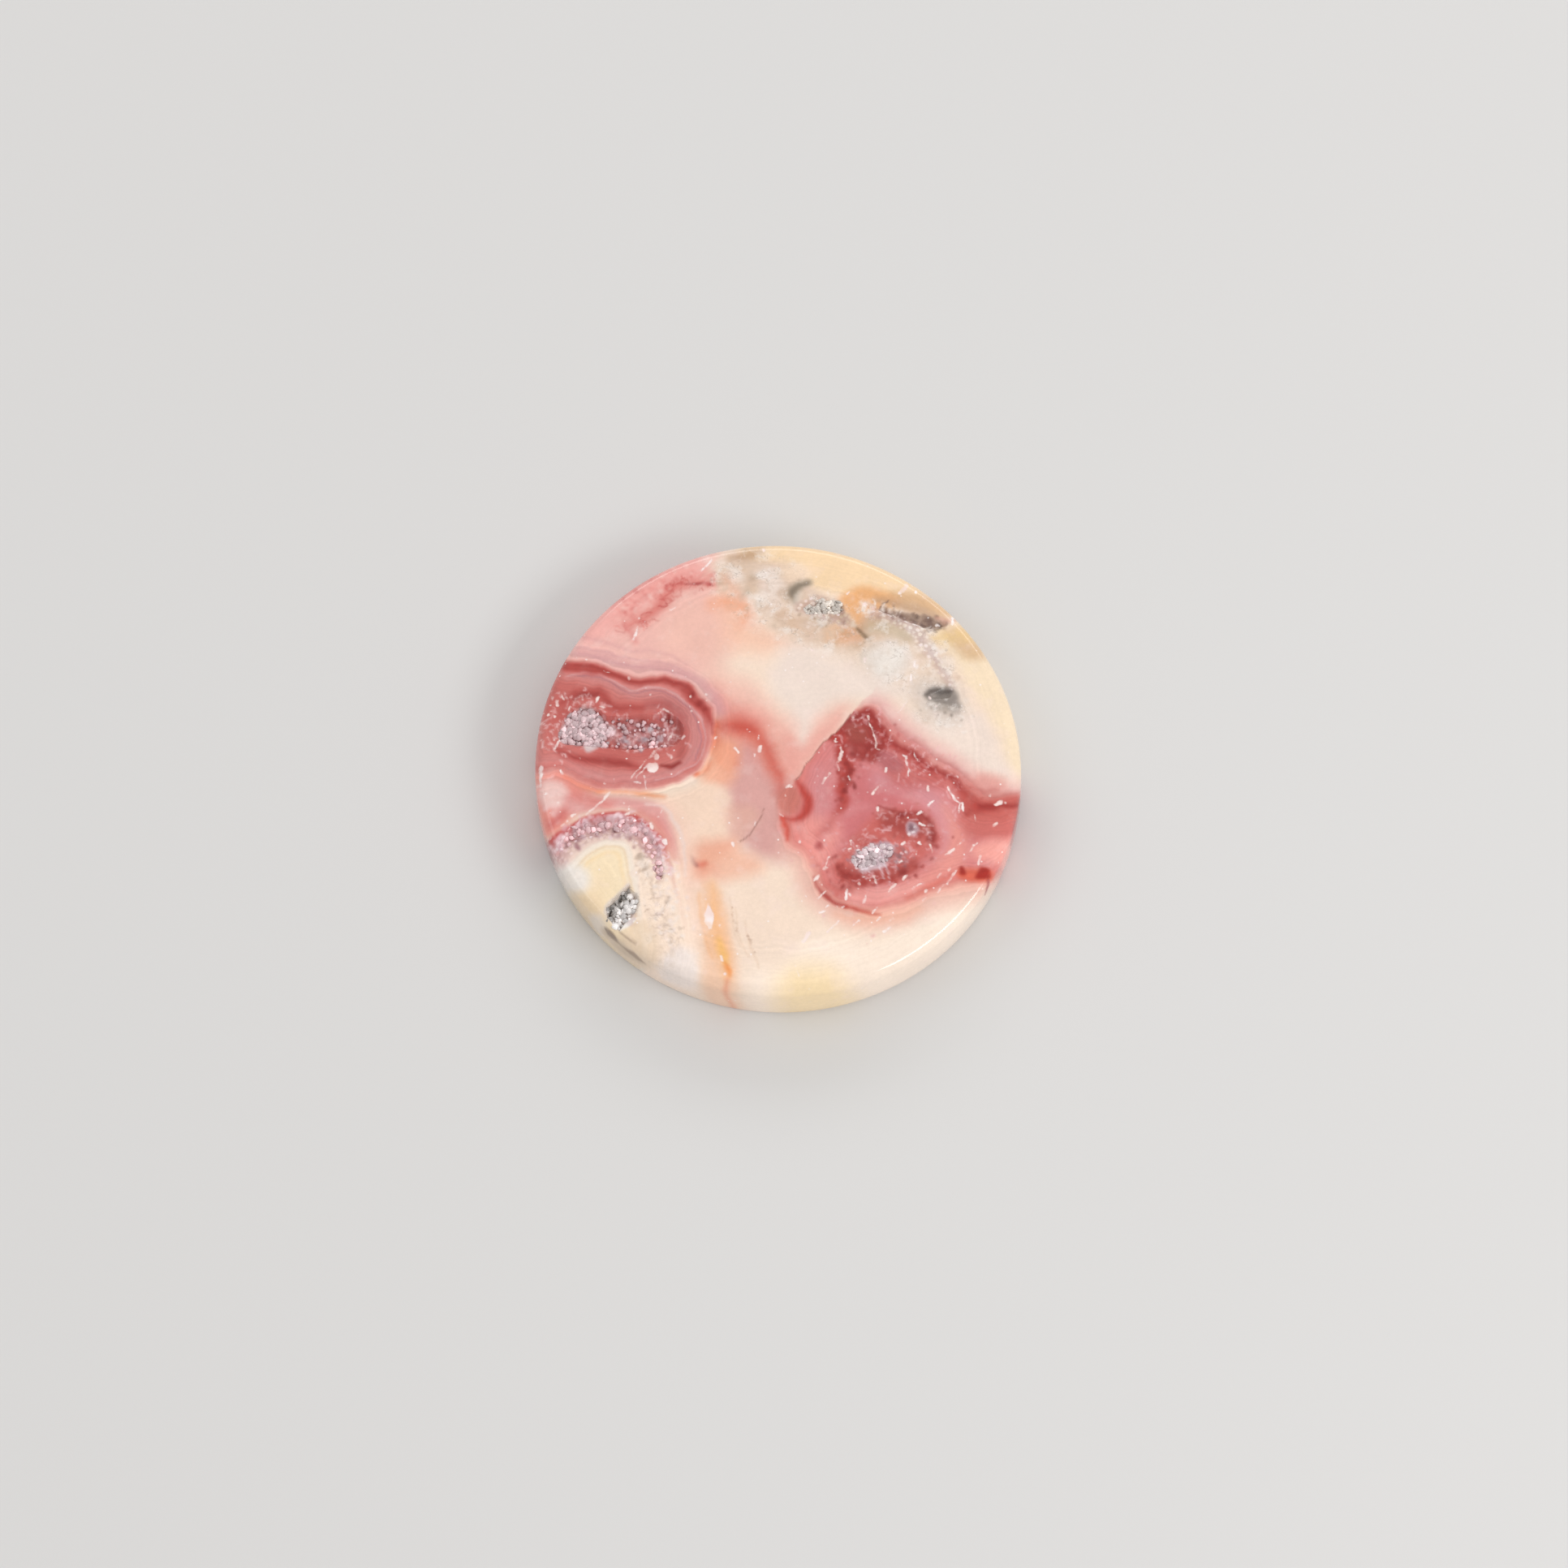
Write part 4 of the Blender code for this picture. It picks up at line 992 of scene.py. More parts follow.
    p.vein((172, 150, 132), 0.85, 0.18, [
        (-9.9, -11.5, 0.05), (-9.3, -12.0, 0.06), (-8.8, -12.4, 0.16), (-8.4, -12.8, 0.12),
        (-8.05, -13.1, 0.03),
    ])
    p.vein((188, 168, 150), 0.75, 0.14, [(-9.5, -11.05, 0.03), (-8.95, -11.5, 0.06), (-8.6, -11.75, 0.09)])
    p.area((246, 236, 231), 0.85, 0.9, [
        (-6.6, -12.4), (-5.3, -12.0), (-4.7, -13.4), (-5.2, -14.8), (-7.0, -14.4), (-7.0, -13),
    ])


def paint_yellow_vein(p):
    """The yellow vein that runs down to the lower edge."""
    p.area((247, 209, 182), 0.75, 1.0, [
        (-4.7, -8.4), (-3.9, -8.0), (-3.0, -10), (-2.5, -13), (-2.6, -16), (-4.4, -16), (-4.5, -12),
    ])
    p.vein((250, 202, 156), 0.85, 1.1, [
        (-4.0, -8.2, 0.1), (-3.9, -9.2, 0.3), (-3.75, -10.2, 0.42), (-3.6, -11.2, 0.5),
        (-3.35, -12.2, 0.52), (-3.15, -13.0, 0.4), (-3.0, -13.8, 0.2),
    ])
    p.vein((250, 204, 134), 0.8, 0.5, [(-3.5, -11.5, 0.15), (-3.3, -12.3, 0.25), (-3.15, -12.9, 0.15)])
    p.vein((244, 164, 92), 0.8, 0.4, [(-3.2, -12.95, 0.06), (-3.0, -13.3, 0.18), (-2.85, -13.7, 0.1)])
    p.vein((240, 170, 140), 0.65, 0.5, [(-3.0, -14.0, 0.12), (-3.1, -14.8, 0.16), (-3.0, -16, 0.12)])
    p.vein((247, 200, 160), 0.6, 0.3, [
        (-4.7, -8.6, 0.05), (-4.6, -10.2, 0.08), (-4.2, -11.8, 0.1), (-3.9, -12.8, 0.05),
    ])
    for x, y in ((-2.9, -8.9), (-2.5, -9.6), (-1.9, -10.4)):
        p.vein((232, 206, 184), 0.5, 0.2, [(x, y, 0.03), (x + 0.25, y - 1.6, 0.05), (x + 0.7, y - 3.0, 0.03)])
    p.granules([(200, 168, 146)], 0.6, 16, 0.04, (0.02, 0.05), [
        (-2.75, -9.6), (-2.55, -10.4), (-2.35, -11.0),
    ], 131)
    p.granules([(190, 158, 138)], 0.6, 16, 0.04, (0.02, 0.05), [
        (-1.75, -11.1), (-1.65, -11.7), (-1.45, -12.35),
    ], 132)


# Bright flecks: chips and open edges, whitish in themselves, with painted glints and rim reflections where
# they catch the light. Dots are (x, y, radius) and dashes are (x, y, x, y, half width).
FLECKS = [
    # upper left
    (-8.95, 8.3, -8.75, 9.1, 0.07), (-6.75, 10.15, -6.4, 10.45, 0.07), (-4.75, 13.05, -4.15, 13.8, 0.06),
    (-8.7, 9.7, 0.07), (-5.35, 12.05, 0.07), (-9.25, 5.6, 0.11), (-10.7, 6.05, -10.4, 5.95, 0.05),
    (-11.9, 6.85, 0.07), (-2.85, 5.35, 0.07), (-5.4, 4.25, 0.07), (-4.5, 4.4, 0.09),
    # left eye
    (-11.1, 4.35, -11.2, 4.05, 0.08), (-10.95, 3.8, -10.75, 3.7, 0.07), (-12.0, 4.3, 0.06),
    (-13.35, 4.5, -13.2, 4.3, 0.06), (-12.85, 3.9, -12.85, 3.5, 0.05), (-13.65, 4.2, -13.6, 3.9, 0.09),
    (-14.15, 3.2, 0.1), (-13.9, 3.45, 0.08), (-13.75, 3.1, 0.11), (-14.0, 3.9, 0.08), (-13.9, 4.35, 0.1),
    (-13.75, 1.05, -13.4, 1.6, 0.07), (-7.4, 3.15, -7.0, 3.42, 0.05), (-7.0, 3.42, -6.55, 3.15, 0.05),
    (-5.5, 3.6, 0.07), (-5.35, 3.3, 0.09), (-7.9, 4.4, 0.07), (-5.95, 1.45, -5.8, 1.65, 0.07),
    (-6.5, 0.3, 0.1), (-12.15, 0.33, 0.06), (-9.2, 0.1, 0.08), (-8.5, 0.85, -8.3, 0.75, 0.09),
    (-7.6, -0.35, 0.36), (-7.42, 0.33, 0.2), (-6.4, 2.0, -7.4, 0.9, 0.035), (-7.4, 0.9, -8.3, -0.3, 0.04),
    (-8.3, -0.3, -9.0, -1.2, 0.05), (-6.9, 1.3, -7.9, 0.2, 0.03), (-7.9, -0.2, -8.6, -1.15, 0.05),
    (-8.8, -1.4, -8.4, -1.45, 0.06), (-8.05, -0.95, -8.0, -1.75, 0.06),
    # left rim, and the scratch down to the arch
    (-14.6, -0.2, -14.55, -0.8, 0.12), (-14.55, -1.0, -14.5, -1.5, 0.08),
    (-13.3, -0.55, -13.15, -0.75, 0.08), (-10.55, -1.38, 0.09), (-10.0, -1.2, 0.06), (-13.42, -2.7, 0.09),
    (-14.1, -2.0, 0.1), (-10.25, -2.0, -10.95, -2.75, 0.08), (-11.0, -2.85, -11.55, -3.4, 0.08),
    (-12.6, -3.45, -12.35, -3.4, 0.09), (-12.9, -3.8, 0.09), (-13.25, -4.1, -13.05, -4.0, 0.08),
    (-10.6, -3.35, 0.1), (-9.3, -3.5, -9.1, -3.35, 0.08), (-9.5, -2.7, 0.06), (-9.2, -2.95, 0.08),
    (-6.95, -5.4, 0.19), (-7.7, -4.1, -7.65, -4.4, 0.1), (-7.3, -4.95, -7.1, -5.1, 0.06),
    (-7.25, -3.65, 0.07), (-7.1, -3.4, -7.0, -3.2, 0.05),
    # middle
    (-1.18, 1.42, -1.15, 1.62, 0.08), (-1.08, 0.55, -1.07, 0.85, 0.1), (-1.3, 0.2, -1.3, 0.35, 0.06),
    (-3.85, 1.35, -3.75, 1.45, 0.07), (-2.55, 0.85, -2.4, 0.55, 0.09), (-1.75, 1.9, 0.06),
    (-0.5, 2.35, 0.06), (-1.43, -4.12, -1.43, -4.3, 0.08), (-2.67, -5.5, -2.65, -5.65, 0.1),
    (-2.4, -5.43, 0.05), (0.5, -1.8, 0.6, -1.7, 0.08), (0.75, -1.75, 0.06), (0.45, -2.3, 0.06),
    (0.15, -3.55, 0.35, -3.7, 0.05), (1.35, -5.3, 0.09), (2.8, -5.25, 0.09),
    # red lobe
    (3.85, 0.85, 4.0, 0.55, 0.06), (4.0, 0.55, 3.85, 0.1, 0.09), (3.85, 0.1, 3.68, -0.15, 0.06),
    (3.68, -0.15, 3.7, -0.6, 0.05), (2.85, -1.6, 2.95, -1.2, 0.08), (2.95, -1.2, 3.2, -0.85, 0.06),
    (2.3, -1.5, 0.07), (2.45, -1.15, 0.05), (3.5, 1.25, 0.09), (4.28, -0.95, 4.35, -1.15, 0.06),
    (4.6, 2.8, 0.07), (5.5, 2.9, 5.62, 2.4, 0.05), (5.62, 2.4, 5.85, 1.8, 0.05),
    (5.85, 1.8, 5.95, 1.2, 0.045), (5.95, 1.2, 5.9, 0.8, 0.06), (5.9, 0.8, 6.2, 0.7, 0.06),
    (7.6, 0.42, 7.85, 0.3, 0.05), (7.85, 0.3, 7.9, -0.15, 0.05), (7.9, -0.15, 8.1, -0.5, 0.05),
    (8.1, -0.5, 8.0, -0.9, 0.06), (8.35, 0.5, 8.55, 0.1, 0.04), (10.3, -1.75, 10.6, -2.15, 0.07),
    (10.6, -2.15, 10.85, -2.6, 0.07), (10.85, -2.6, 11.1, -2.75, 0.06), (11.1, -2.75, 11.05, -3.3, 0.05),
    (11.25, -2.75, 11.3, -3.2, 0.08), (11.0, -2.4, 0.06), (10.9, -0.95, 0.07),
    (13.35, -2.7, 13.6, -2.55, 0.14), (13.85, -2.6, 0.07), (11.95, -3.4, 12.0, -3.85, 0.05),
    (13.1, -4.15, 13.35, -3.95, 0.09), (6.6, -0.8, 6.65, -0.55, 0.08), (5.85, -2.1, 5.95, -1.9, 0.08),
    (6.0, -1.85, 6.1, -1.7, 0.07), (6.6, -1.95, 0.07), (9.15, -1.75, 9.18, -2.0, 0.07),
    (9.2, -2.85, 9.5, -2.6, 0.08), (8.5, -3.5, 8.75, -3.3, 0.08), (6.03, -3.0, 6.05, -3.25, 0.08),
    (8.55, -4.1, 8.9, -4.2, 0.08), (12.95, -2.15, 0.07),
    # right eye
    (7.6, -5.4, 7.75, -5.3, 0.1), (8.55, -5.25, 8.6, -5.4, 0.07), (9.15, -5.5, 9.35, -5.9, 0.06),
    (8.45, -5.8, 8.4, -6.0, 0.04), (7.3, -6.5, 7.45, -6.4, 0.06), (7.7, -7.6, 7.85, -7.4, 0.09),
    (5.25, -7.55, 0.09), (5.0, -8.0, 0.1), (5.8, -7.4, 5.9, -7.9, 0.05), (4.4, -5.2, 4.4, -5.5, 0.06),
    (4.2, -5.8, 4.4, -5.75, 0.06), (4.75, -5.6, 0.06), (10.1, -6.0, 10.3, -5.85, 0.05),
    (10.3, -5.85, 10.6, -5.6, 0.1), (10.8, -5.4, 11.1, -5.15, 0.06), (11.7, -5.8, 11.85, -5.4, 0.05),
    (11.9, -5.35, 12.1, -5.2, 0.08), (12.15, -6.7, 12.35, -6.1, 0.08), (10.3, -7.05, 10.4, -6.9, 0.08),
    (9.7, -7.5, 9.85, -7.25, 0.07), (10.8, -7.1, 10.5, -7.65, 0.08), (10.5, -7.65, 10.25, -7.95, 0.06),
    (10.0, -8.05, 9.7, -8.55, 0.05), (6.75, -8.5, 6.85, -8.15, 0.07), (6.85, -8.15, 7.1, -7.95, 0.1),
    (8.2, -8.25, 8.7, -7.95, 0.06), (8.9, -8.5, 9.0, -8.35, 0.09), (8.75, -9.1, 8.95, -8.85, 0.06),
    (7.75, -8.6, 0.07), (4.2, -8.9, 4.25, -8.5, 0.08), (4.25, -8.5, 4.45, -8.7, 0.06),
    (5.15, -9.1, 5.3, -8.75, 0.08), (3.95, -9.4, 4.1, -9.3, 0.07), (3.6, -9.35, 0.07),
    (2.72, -7.0, 3.0, -6.95, 0.08), (2.85, -6.85, 3.0, -6.3, 0.07), (2.2, -7.7, 2.4, -7.5, 0.1),
    (2.55, -7.8, 2.65, -8.0, 0.05), (2.35, -8.9, 2.8, -8.4, 0.06),
    # lower right
    (3.0, -11.0, 3.7, -10.35, 0.06), (1.45, -11.65, 1.95, -11.1, 0.11), (4.4, -10.7, 4.9, -10.3, 0.05),
    (5.7, -9.85, 6.05, -9.55, 0.07), (6.0, -10.35, 6.2, -10.15, 0.06), (6.75, -10.35, 7.0, -10.2, 0.06),
    (6.35, -11.0, 6.75, -10.75, 0.07), (2.5, -9.8, 2.8, -9.75, 0.08), (2.8, -9.5, 3.0, -9.35, 0.06),
    (1.2, -13.4, 1.32, -13.8, 0.06), (1.75, -8.8, 0.06),
    # yellow vein
    (-3.5, -10.7, 0.08), (-3.95, -11.25, 0.06), (-3.42, -12.6, -3.4, -12.8, 0.1), (-3.2, -13.65, 0.12),
    (-4.35, -8.95, 0.06),
    # upper right
    (7.55, 11.4, 7.95, 11.95, 0.14), (8.45, 11.6, 0.12), (4.2, 11.3, 4.4, 11.5, 0.06), (5.35, 10.65, 0.13),
    (5.85, 10.5, 5.9, 10.35, 0.1), (9.8, 9.25, 10.0, 9.2, 0.1), (10.8, 9.3, 10.85, 9.75, 0.1),
    (5.4, 6.6, 5.38, 6.85, 0.07), (8.4, 6.3, 8.45, 6.7, 0.06), (8.1, 5.45, 8.15, 5.75, 0.09),
    (9.38, 4.32, 0.12), (9.8, 3.75, 0.08), (7.4, 3.2, 7.9, 4.1, 0.04), (1.75, 10.05, 3.2, 10.02, 0.06),
    (1.72, 9.9, 1.82, 10.35, 0.06), (2.05, 7.45, 0.09), (-1.0, 14.4, 0.14), (6.2, 10.25, 7.0, 9.85, 0.05),
    (7.9, 9.5, 8.9, 9.05, 0.05),
]
WHITE_LENS = [
    (-4.22, -9.2), (-4.0, -9.6), (-3.85, -10.2), (-3.95, -10.9), (-4.15, -10.9), (-4.4, -10.5),
    (-4.42, -10.0), (-4.3, -9.6),
]

# Fine lines: (x, y, half width) along each
CRACKS = [
    [(x, y, 0.035) for x, y in FRACTURE],
    [(-0.85, -3.25, 0.02), (-1.1, -3.9, 0.04), (-1.7, -4.8, 0.04), (-2.3, -5.4, 0.03)],
]

# Fields of fine banding: outline, the least and greatest depth that it shows at, its strength
BANDED = [
    (LEFT_EYE, -1.1, 2.4, 0.9),
    (RED_LOBE, -0.5, 2.4, 0.7),
    (ARCH_CORE, -3.2, 1.4, 0.3),
]
RIM_BANDS = (0.2, 3.4, 0.25)

# Patches of frosty, mottled quartz, as outlines
FROSTY = [
    [(-4.6, 12.4), (-3, 14.2), (0.5, 14), (2.5, 12), (4.5, 11), (8, 10.4), (10.5, 9.2), (11.2, 6),
     (11.6, 2.6), (9.4, 2.2), (7.4, 4.4), (5, 6.4), (2, 7.6), (0, 8.0), (-2.4, 9.6), (-3.6, 11)],
    [(-8.2, -6.6), (-7.4, -6.2), (-6.9, -7.8), (-6.4, -10), (-6.0, -12.6), (-6.8, -13.6), (-7.6, -12.0),
     (-8.0, -9)],
]

# Dark marks that the frosting leaves clear, as chains of circles
CLEAR = [
    [(9.6, 4.5, 0.45), (10.5, 4.5, 0.6)],
    [(1.7, 12.0, 0.3), (0.9, 11.6, 0.4), (0.95, 10.8, 0.3)],
    [(3.3, 9.9, 0.15), (4.6, 9.3, 0.2), (5.5, 8.5, 0.15)],
    [(6.6, 10.2, 0.3), (8.4, 9.6, 0.5), (9.6, 9.3, 0.5), (11.2, 9.4, 0.3)],
    [(-10.3, -10.8, 0.3), (-9.8, -11.5, 0.3), (-8.8, -12.5, 0.3)],
]

# Patches of sugary quartz grain, as chains of circles
SUGARY = [
    [(-13.4, -6.2, 0.4), (-12.6, -5.1, 0.6), (-11.2, -4.4, 0.7), (-9.6, -4.3, 0.7), (-8.2, -5.0, 0.7),
     (-7.4, -6.4, 0.5), (-7.2, -7.6, 0.3)],
    [(-12.2, 2.2, 1.2), (-10.4, 1.9, 0.7), (-8.4, 1.8, 1.0), (-7, 1.9, 0.6)],
    [(5.1, -6.5, 0.8), (6.4, -6.1, 0.7), (7.4, -6, 0.4)],
    [(1.4, 10.4, 0.4), (2.6, 10.4, 0.8), (4, 9.6, 0.5)],
    [(6, 10, 0.3), (8.2, 9.2, 0.4), (9.2, 7.8, 0.4), (10, 6.4, 0.25), (10.7, 5.1, 0.2)],
    [(-9.0, -9.0, 0.4), (-8.8, -10.2, 0.4)],
]


def rim_radius(angles):
    """The radius at the widest, a hair longer along one diagonal, as a hand-ground outline is."""
    return RADIUS + OUT_OF_ROUND * np.cos(2.0 * (angles - LONG_WAY))


def face_height(x, y):
    share = np.hypot(x, y) / FACE_RADIUS
    return THICKNESS - DOME_RISE * share**DOME_POWER


def ring_points(inner_radius, angles, heights):
    """Points round the stone at a radius, stretched as its outline is."""
    radii = inner_radius * rim_radius(angles) / RADIUS
    return np.column_stack([radii * np.cos(angles), radii * np.sin(angles), heights + 0.0 * angles])


def disc_points(rings, radius, height_at):
    """A centre point and rings of six more points each."""
    points = [np.array([[0.0, 0.0, height_at(0.0)]])]
    for ring in range(1, rings + 1):
        angles = 2.0 * math.pi * np.arange(6 * ring) / (6 * ring)
        r = radius * ring / rings
        points.append(ring_points(r, angles, height_at(r)))
    return np.concatenate(points)


def ring_start(ring):
    return 1 + 3 * ring * (ring - 1) if ring else 0


def disc_triangles(rings):
    """The triangles between the rings of a disc, as point numbers, seen anticlockwise from above."""
    faces = []
    for ring in range(rings):
        inner_count = max(6 * ring, 1)
        outer_count = 6 * (ring + 1)
        for sector in range(6):
            inner = ring_start(ring) + (sector * ring + np.arange(ring + 1)) % inner_count
            outer = ring_start(ring + 1) + (sector * (ring + 1) + np.arange(ring + 2)) % outer_count
            faces.append(np.column_stack([outer[:-1], outer[1:], inner]))
            faces.append(np.column_stack([inner[:-1], outer[1:-1], inner[1:]]))
    return np.concatenate(faces)


def wall_triangles(upper, lower):
    """The triangles between two rings of as many points, one above the other."""
    upper_next = np.roll(upper, -1)
    lower_next = np.roll(lower, -1)
    return np.concatenate([
        np.column_stack([upper, lower, lower_next]),
        np.column_stack([upper, lower_next, upper_next]),
    ])


def side_profile():
    """The shoulder, side and back bevel from the face's edge down, as (inset, height)."""
    foot = THICKNESS - DOME_RISE - SHOULDER_HEIGHT
    points = []
    for step in range(1, SHOULDER_STEPS + 1):
        turn = 0.5 * math.pi * (1.0 - step / SHOULDER_STEPS)
        inset = SIDE_BULGE + (SHOULDER_WIDTH - SIDE_BULGE) * (1.0 - math.cos(turn))
        points.append((inset, foot + SHOULDER_HEIGHT * math.sin(turn)))
    for step in range(1, SIDE_STEPS + 1):
        share = step / SIDE_STEPS
        points.append((SIDE_BULGE * (2.0 * share - 1.0) ** 2, foot + (BACK_BEVEL - foot) * share))
    points.append((SIDE_BULGE + BACK_BEVEL, 0.0))
    return points


def stone_surface():
    """The stone's points in millimetres and its triangles: face, shoulder, side, bevel and back."""
    points = [disc_points(FACE_RINGS, FACE_RADIUS, lambda r: face_height(r, 0.0))]
    faces = [disc_triangles(FACE_RINGS)]
    count = 6 * FACE_RINGS
    angles = 2.0 * math.pi * np.arange(count) / count
    upper = ring_start(FACE_RINGS) + np.arange(count)
    total = len(points[0])
    for inset, height in side_profile():
        points.append(ring_points(RADIUS - inset, angles, height))
        lower = total + np.arange(count)
        faces.append(wall_triangles(upper, lower))
        upper = lower
        total += count
    back_rings = FACE_RINGS // BACK_COARSENESS
    points.append(disc_points(back_rings, FACE_RADIUS, lambda r: 0.0))
    faces.append(total + disc_triangles(back_rings)[:, ::-1])
    coarse = total + ring_start(back_rings) + np.arange(6 * back_rings)
    coarse_next = np.roll(coarse, -1)
    for step in range(BACK_COARSENESS):
        near = upper[step::BACK_COARSENESS]
        far = np.roll(upper, -1)[step::BACK_COARSENESS]
        faces.append(np.column_stack([near, coarse, far]))
    faces.append(np.column_stack([coarse, coarse_next, np.roll(upper, -BACK_COARSENESS)[::BACK_COARSENESS]]))
    return np.concatenate(points), np.concatenate(faces)


def pocket_depth(plan):
    """How deep the open pockets are below the face at plan points."""
    depth = np.zeros(len(plan))
    for deepest, chain in POCKETS.values():
        sunk = np.clip(depth_in_chain(plan, chain) / POCKET_WALL, 0.0, 1.0)
        depth = np.maximum(depth, deepest * sunk * (2.0 - sunk))
    inside = depth_in_outline(plan, np.array(VUG_OUTLINE))
    sunk = np.clip(inside / VUG_WALL, 0.0, 1.0)
    floor = VUG_DEPTH * np.clip(1.0 - 0.55 * (plan[:, 0] - 0.3 * plan[:, 1] + 7.0), 0.25, 1.0)
    return np.maximum(depth, floor * sunk)


def pattern_plan(points):
    """Where the surface's points fall on the plan that the markings are drawn on."""
    below = np.clip(PLAN_HEIGHT - points[:, 2], 0.0, None)
    plan = points[:, :2].copy()
    plan[:, 1] -= SLANT * below
    deep = np.clip(below / THICKNESS, 0.0, 1.0)
    for axis in (0, 1):
        plan[:, axis] += DEEP_WANDER * deep * lattice_noise(points, DEEP_LUMP, DEEP_SEED + axis)
        for amount, cell, seed in WANDER:
            plan[:, axis] += amount * lattice_noise(points, cell, seed + axis)
    return plan


def fleck_depth(plan, heights):
    """How far points are inside the nearest bright fleck, in millimetres; negative outside."""
    depth = depth_in_outline(plan, np.array(WHITE_LENS))
    for fleck in FLECKS:
        if len(fleck) == 3:
            x, y, r = fleck
            chain = [(x, y, r), (x, y + 0.001, r)]
        else:
            x0, y0, x1, y1, r = fleck
            chain = [(x0, y0, r), (x1, y1, r)]
        reach = 0.6
        low = np.min(np.array(chain)[:, :2], axis=0) - reach
        high = np.max(np.array(chain)[:, :2], axis=0) + reach
        where = np.flatnonzero(((plan > low) & (plan < high)).all(axis=1))
        depth[where] = np.maximum(depth[where], depth_in_chain(plan[where], chain))
    depth -= 0.6 * np.clip(PLAN_HEIGHT - 0.3 - heights, 0.0, None)
    return np.clip(depth, -0.5, 0.5)


def banding(plan):
    """The depth that fine bands follow and how strongly they show, at plan points."""
    depth = np.zeros(len(plan))
    strength = np.zeros(len(plan))
    fields = []
    for outline, least, most, share in BANDED:
        inside = depth_in_outline(plan, smooth_line(outline, closed=True))
        if outline is RED_LOBE:
            share = share * fade(left_of(plan, FRACTURE), 0.1)
        fields.append((inside, least, most, share))
    rim = RADIUS - np.hypot(plan[:, 0], plan[:, 1])
    fields.append((rim, *RIM_BANDS))
    for inside, least, most, share in fields:
        middle = 0.5 * (least + most)
        half = 0.5 * (most - least)
        shows = share * fade(half - np.abs(inside - middle), 1.2)
        depth = np.where(shows > strength, inside, depth)
        strength = np.maximum(shows, strength)
    return depth, strength


def sugar_share(plan):
    """Where the quartz is sugary, from 0 to 1."""
    share = np.zeros(len(plan))
    for chain in SUGARY:
        share = np.maximum(share, fade(depth_in_chain(plan, chain), 0.5))
    return share


def frost_share(plan):
    """Where the quartz is frosty and mottled, from 0 to 1."""
    share = np.zeros(len(plan))
    for outline in FROSTY:
        share = np.maximum(share, fade(depth_in_outline(plan, smooth_line(outline, closed=True)), 1.4))
    for chain in CLEAR:
        share *= 1.0 - fade(depth_in_chain(plan, chain), 0.4)
    return share


def paint_stone(points):
    """The markings' colour, and the values that the stone's material reads, at each point."""
    plan = pattern_plan(points)
    p = Painter(plan)
    for _, colour, strength, softness, outline in AREAS:
        p.area(colour, strength, softness, outline)
    for paint_region in (
        paint_upper_left, paint_upper_right, paint_middle, paint_red_lobe, paint_right_eye,
        paint_left_rim, paint_left_eye, paint_arch, paint_yellow_vein,
    ):
        paint_region(p)
    for line in CRACKS:
        p.vein(CRACK_BROWN, 0.55, 0.08, line)
    depth, strength = banding(plan)
    return p.colours**DEEPEN, {
        "milk": np.clip(p.colours[:, 1] / 0.6, 0.0, 1.0),
        "fleck": fleck_depth(plan, points[:, 2]),
        "band_depth": depth,
        "band_strength": strength,
        "sugar": sugar_share(plan),
        "frost": frost_share(plan),
    }


def mesh_object(name, points, faces):
    """An object from points in millimetres and triangles."""
    mesh = bpy.data.meshes.new(name)
    mesh.vertices.add(len(points))
    mesh.vertices.foreach_set("co", (points * MM).astype(np.float32).ravel())
    mesh.loops.add(3 * len(faces))
    mesh.loops.foreach_set("vertex_index", faces.astype(np.int32).ravel())
    mesh.polygons.add(len(faces))
    mesh.polygons.foreach_set("loop_start", np.arange(0, 3 * len(faces), 3, dtype=np.int32))
    mesh.update(calc_edges=True)
    mesh.validate()
    thing = bpy.data.objects.new(name, mesh)
    bpy.context.scene.collection.objects.link(thing)
    return thing


def make_stone():
    """The dressed stone: its mesh, its markings and its material."""
    points, faces = stone_surface()
    upper = points[:, 2] > THICKNESS - DOME_RISE - SHOULDER_HEIGHT
    flat_plan = points[:, :2]
    sunk = np.where(upper, pocket_depth(flat_plan), 0.0)
    rough = np.clip(sunk / ROUGH_FROM, 0.0, 1.0)
    lumps = sum(amount * lattice_noise(points, cell, seed) for amount, cell, seed in POCKET_LUMPS)
    colours, fields = paint_stone(points)
    points[:, 2] -= sunk + rough * lumps
    stone = mesh_object("polished_cabochon", points, faces)
    mesh = stone.data
    tint = mesh.attributes.new("markings", "FLOAT_COLOR", "POINT")
    solid = np.column_stack([colours, np.ones(len(points))])
    tint.data.foreach_set("color", solid.astype(np.float32).ravel())
    fields["pocket"] = rough
    for name, values in fields.items():
        mesh.attributes.new(name, "FLOAT", "POINT").data.foreach_set("value", values.astype(np.float32))
    mesh.shade_smooth()
    mesh.set_sharp_from_angle(angle=math.radians(35.0))
    mesh.materials.append(agate_material())
    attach(stone, "root")
    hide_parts("cabochon")


